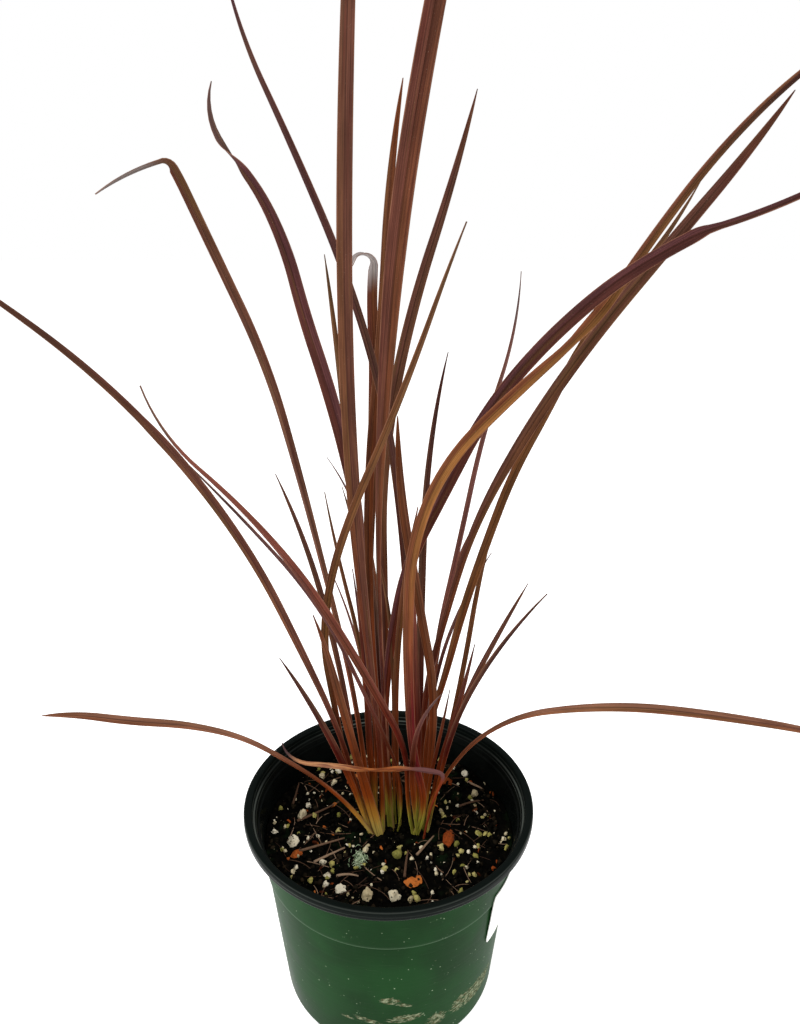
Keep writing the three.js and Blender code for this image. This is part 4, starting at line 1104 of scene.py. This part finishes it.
def make_bark(rng):
    heap = Heap(rng)
    for x, y, long, wide, turn in CHIPS:
        points, faces = lump(rng, 2, lumps=0.3, detail=4, cuts=5)
        points = points * [long / 2, wide / 2, CHIP_THICK / 2]
        cos = math.cos(math.radians(turn))
        sin = math.sin(math.radians(turn))
        spin = np.array([[cos, sin, 0], [-sin, cos, 0], [0, 0, 1]])
        heap.add(points @ spin + [x, y, soil_top(x, y) + CHIP_THICK / 4], faces)
    heap.scatter(LOOSE_BARK, lumps=0.4, detail=2, cuts=5, flat=0.4)
    tones = ((0.25, "#3c1a0c"), (0.5, "#8a3f1a"), (0.75, "#b4652c"))
    heap.piece("bark", grain_material("bark_chips", tones, 0.75, 0.8, 0.35), "mix")


def make_dark_crumbs(rng):
    heap = Heap(rng)
    heap.scatter(DARK_CRUMBS, off_crown=False, lumps=0.5, detail=2, cuts=5)
    tones = ((0.1, "#040404"), (0.62, "#0f0d09"), (0.92, "#2c2318"))
    heap.piece("dark_crumbs", grain_material("dark_crumbs", tones, 0.8, 0.4, gloss=0.015), "mix")


def make_fibres(rng):
    """The twigs, and many fine fibres"""
    heap = Heap(rng)
    for x, y, long, turn in TWIGS:
        shape = (math.radians(turn), long, TWIG_RADIUS, TWIG_ARCH)
        heap.add(*strand(rng, (x, y), *shape, sides=8, bends=0.04))
    for _ in range(FIBRES):
        long = rng.uniform(*FIBRE_LENGTHS)
        radius = rng.uniform(*FIBRE_RADII)
        start = anywhere(rng, reach=FIBRE_REACH - long / 2)
        turn = rng.uniform(*ANY_TURN)
        heap.add(*strand(rng, start, turn, long, radius, rng.uniform(*FIBRE_ARCHES)))
    tones = ((0.1, "#2e2019"), (0.5, "#5e4636"), (0.9, "#8e7660"))
    heap.piece("fibres", grain_material("twigs_and_fibres", tones, 0.7, 0.2), "mix")


def make_moss(rng):
    heap = Heap(rng)
    for _ in range(MOSS_STRANDS):
        start = [middle + rng.gauss(0, spread) for middle, spread in zip(MOSS_AT, MOSS_SPREAD)]
        long = rng.uniform(*MOSS_LENGTHS)
        turn = rng.uniform(*ANY_TURN)
        heap.add(*strand(rng, start, turn, long, MOSS_RADIUS, rng.uniform(*MOSS_ARCHES)))
    tones = ((0.1, "#5a6c50"), (0.5, "#9aac88"), (0.9, "#c6d0b4"))
    heap.piece("moss", grain_material("moss", tones, 0.8, 0.2), "mix")


def make_grains():
    """All the loose bodies on the mix"""
    rng = random.Random(11)
    for make in (make_perlite, make_prills, make_bark, make_dark_crumbs, make_fibres, make_moss):
        make(rng)


def make_leaves():
    """The seven shoots and the withered leaf"""
    rng = random.Random(5)
    materials = {look: leaf_material(f"{look}_leaf", *tones) for look, tones in LOOKS.items()}
    materials["dry"] = dry_material()
    for node, (centre, slot, rows) in SHOOTS.items():
        leaf_piece(node.replace("shoot", "leaves"), node, rows, centre, materials, rng)
    centre = WITHERED_LEAF.foot
    leaf_piece("dry_leaf", "withered_leaf", [WITHERED_LEAF], centre, materials, rng)


def make_world():
    """A soft grey sky that looks white behind the plant"""
    world = bpy.data.worlds.new("studio")
    bpy.context.scene.world = world
    world.use_nodes = True
    nodes = world.node_tree.nodes
    background = nodes["Background"]
    background.inputs["Color"].default_value = (1, 1, 1, 1)
    seen = nodes.new("ShaderNodeLightPath").outputs["Is Camera Ray"]
    strength = nodes.new("ShaderNodeMapRange")
    strength.inputs["To Min"].default_value = SKY
    strength.inputs["To Max"].default_value = 1
    world.node_tree.links.new(seen, strength.inputs["Value"])
    world.node_tree.links.new(strength.outputs["Result"], background.inputs["Strength"])


def make_stage():
    """A plain white floor, a soft sky and three large soft lamps"""
    s = Shader("pale_floor", 1.4, 0.05)
    white = s.mix(s.noise(s.position(), 8, 2), "#f6f6f5", "#ffffff")
    s.set("Base Color", white)
    s.set("Emission Color", white)
    s.set("Emission Strength", FLOOR_GLOW)
    s.set("Roughness", 0.9)
    corners = [(x * FLOOR_HALF, y * FLOOR_HALF, 0) for x, y in ((-1, -1), (1, -1), (1, 1), (-1, 1))]
    mesh = bpy.data.meshes.new("floor")
    mesh.from_pydata(corners, [], [[0, 1, 2, 3]])
    mesh.materials.append(s.material)
    floor = add_object("floor", mesh)
    make_world()
    for name, at, size, watts in LAMPS:
        lamp = bpy.data.lights.new(name, "AREA")
        lamp.energy = watts
        lamp.size = size
        holder = add_object(name, lamp)
        holder.location = at
        aim = Vector(LAMP_AIM) - Vector(at)
        holder.rotation_euler = aim.to_track_quat("-Z", "Y").to_euler()


def make_camera():
    """The camera that took the photograph, level from side to side"""
    data = bpy.data.cameras.new("camera")
    data.sensor_fit = "VERTICAL"
    data.sensor_height = SENSOR
    data.lens = FOCAL_PIXELS / PHOTO_HEIGHT * SENSOR
    data.clip_start = 0.01
    holder = add_object("camera", data)
    holder.location = [c * MM for c in CAMERA_AT]
    holder.rotation_euler = (math.radians(90 - CAMERA_DOWN), 0, 0)
    bpy.context.scene.camera = holder


bpy.context.scene.view_settings.view_transform = "Standard"
make_camera()
make_stage()
make_pot()
make_label()
make_mix()
make_grains()
make_leaves()
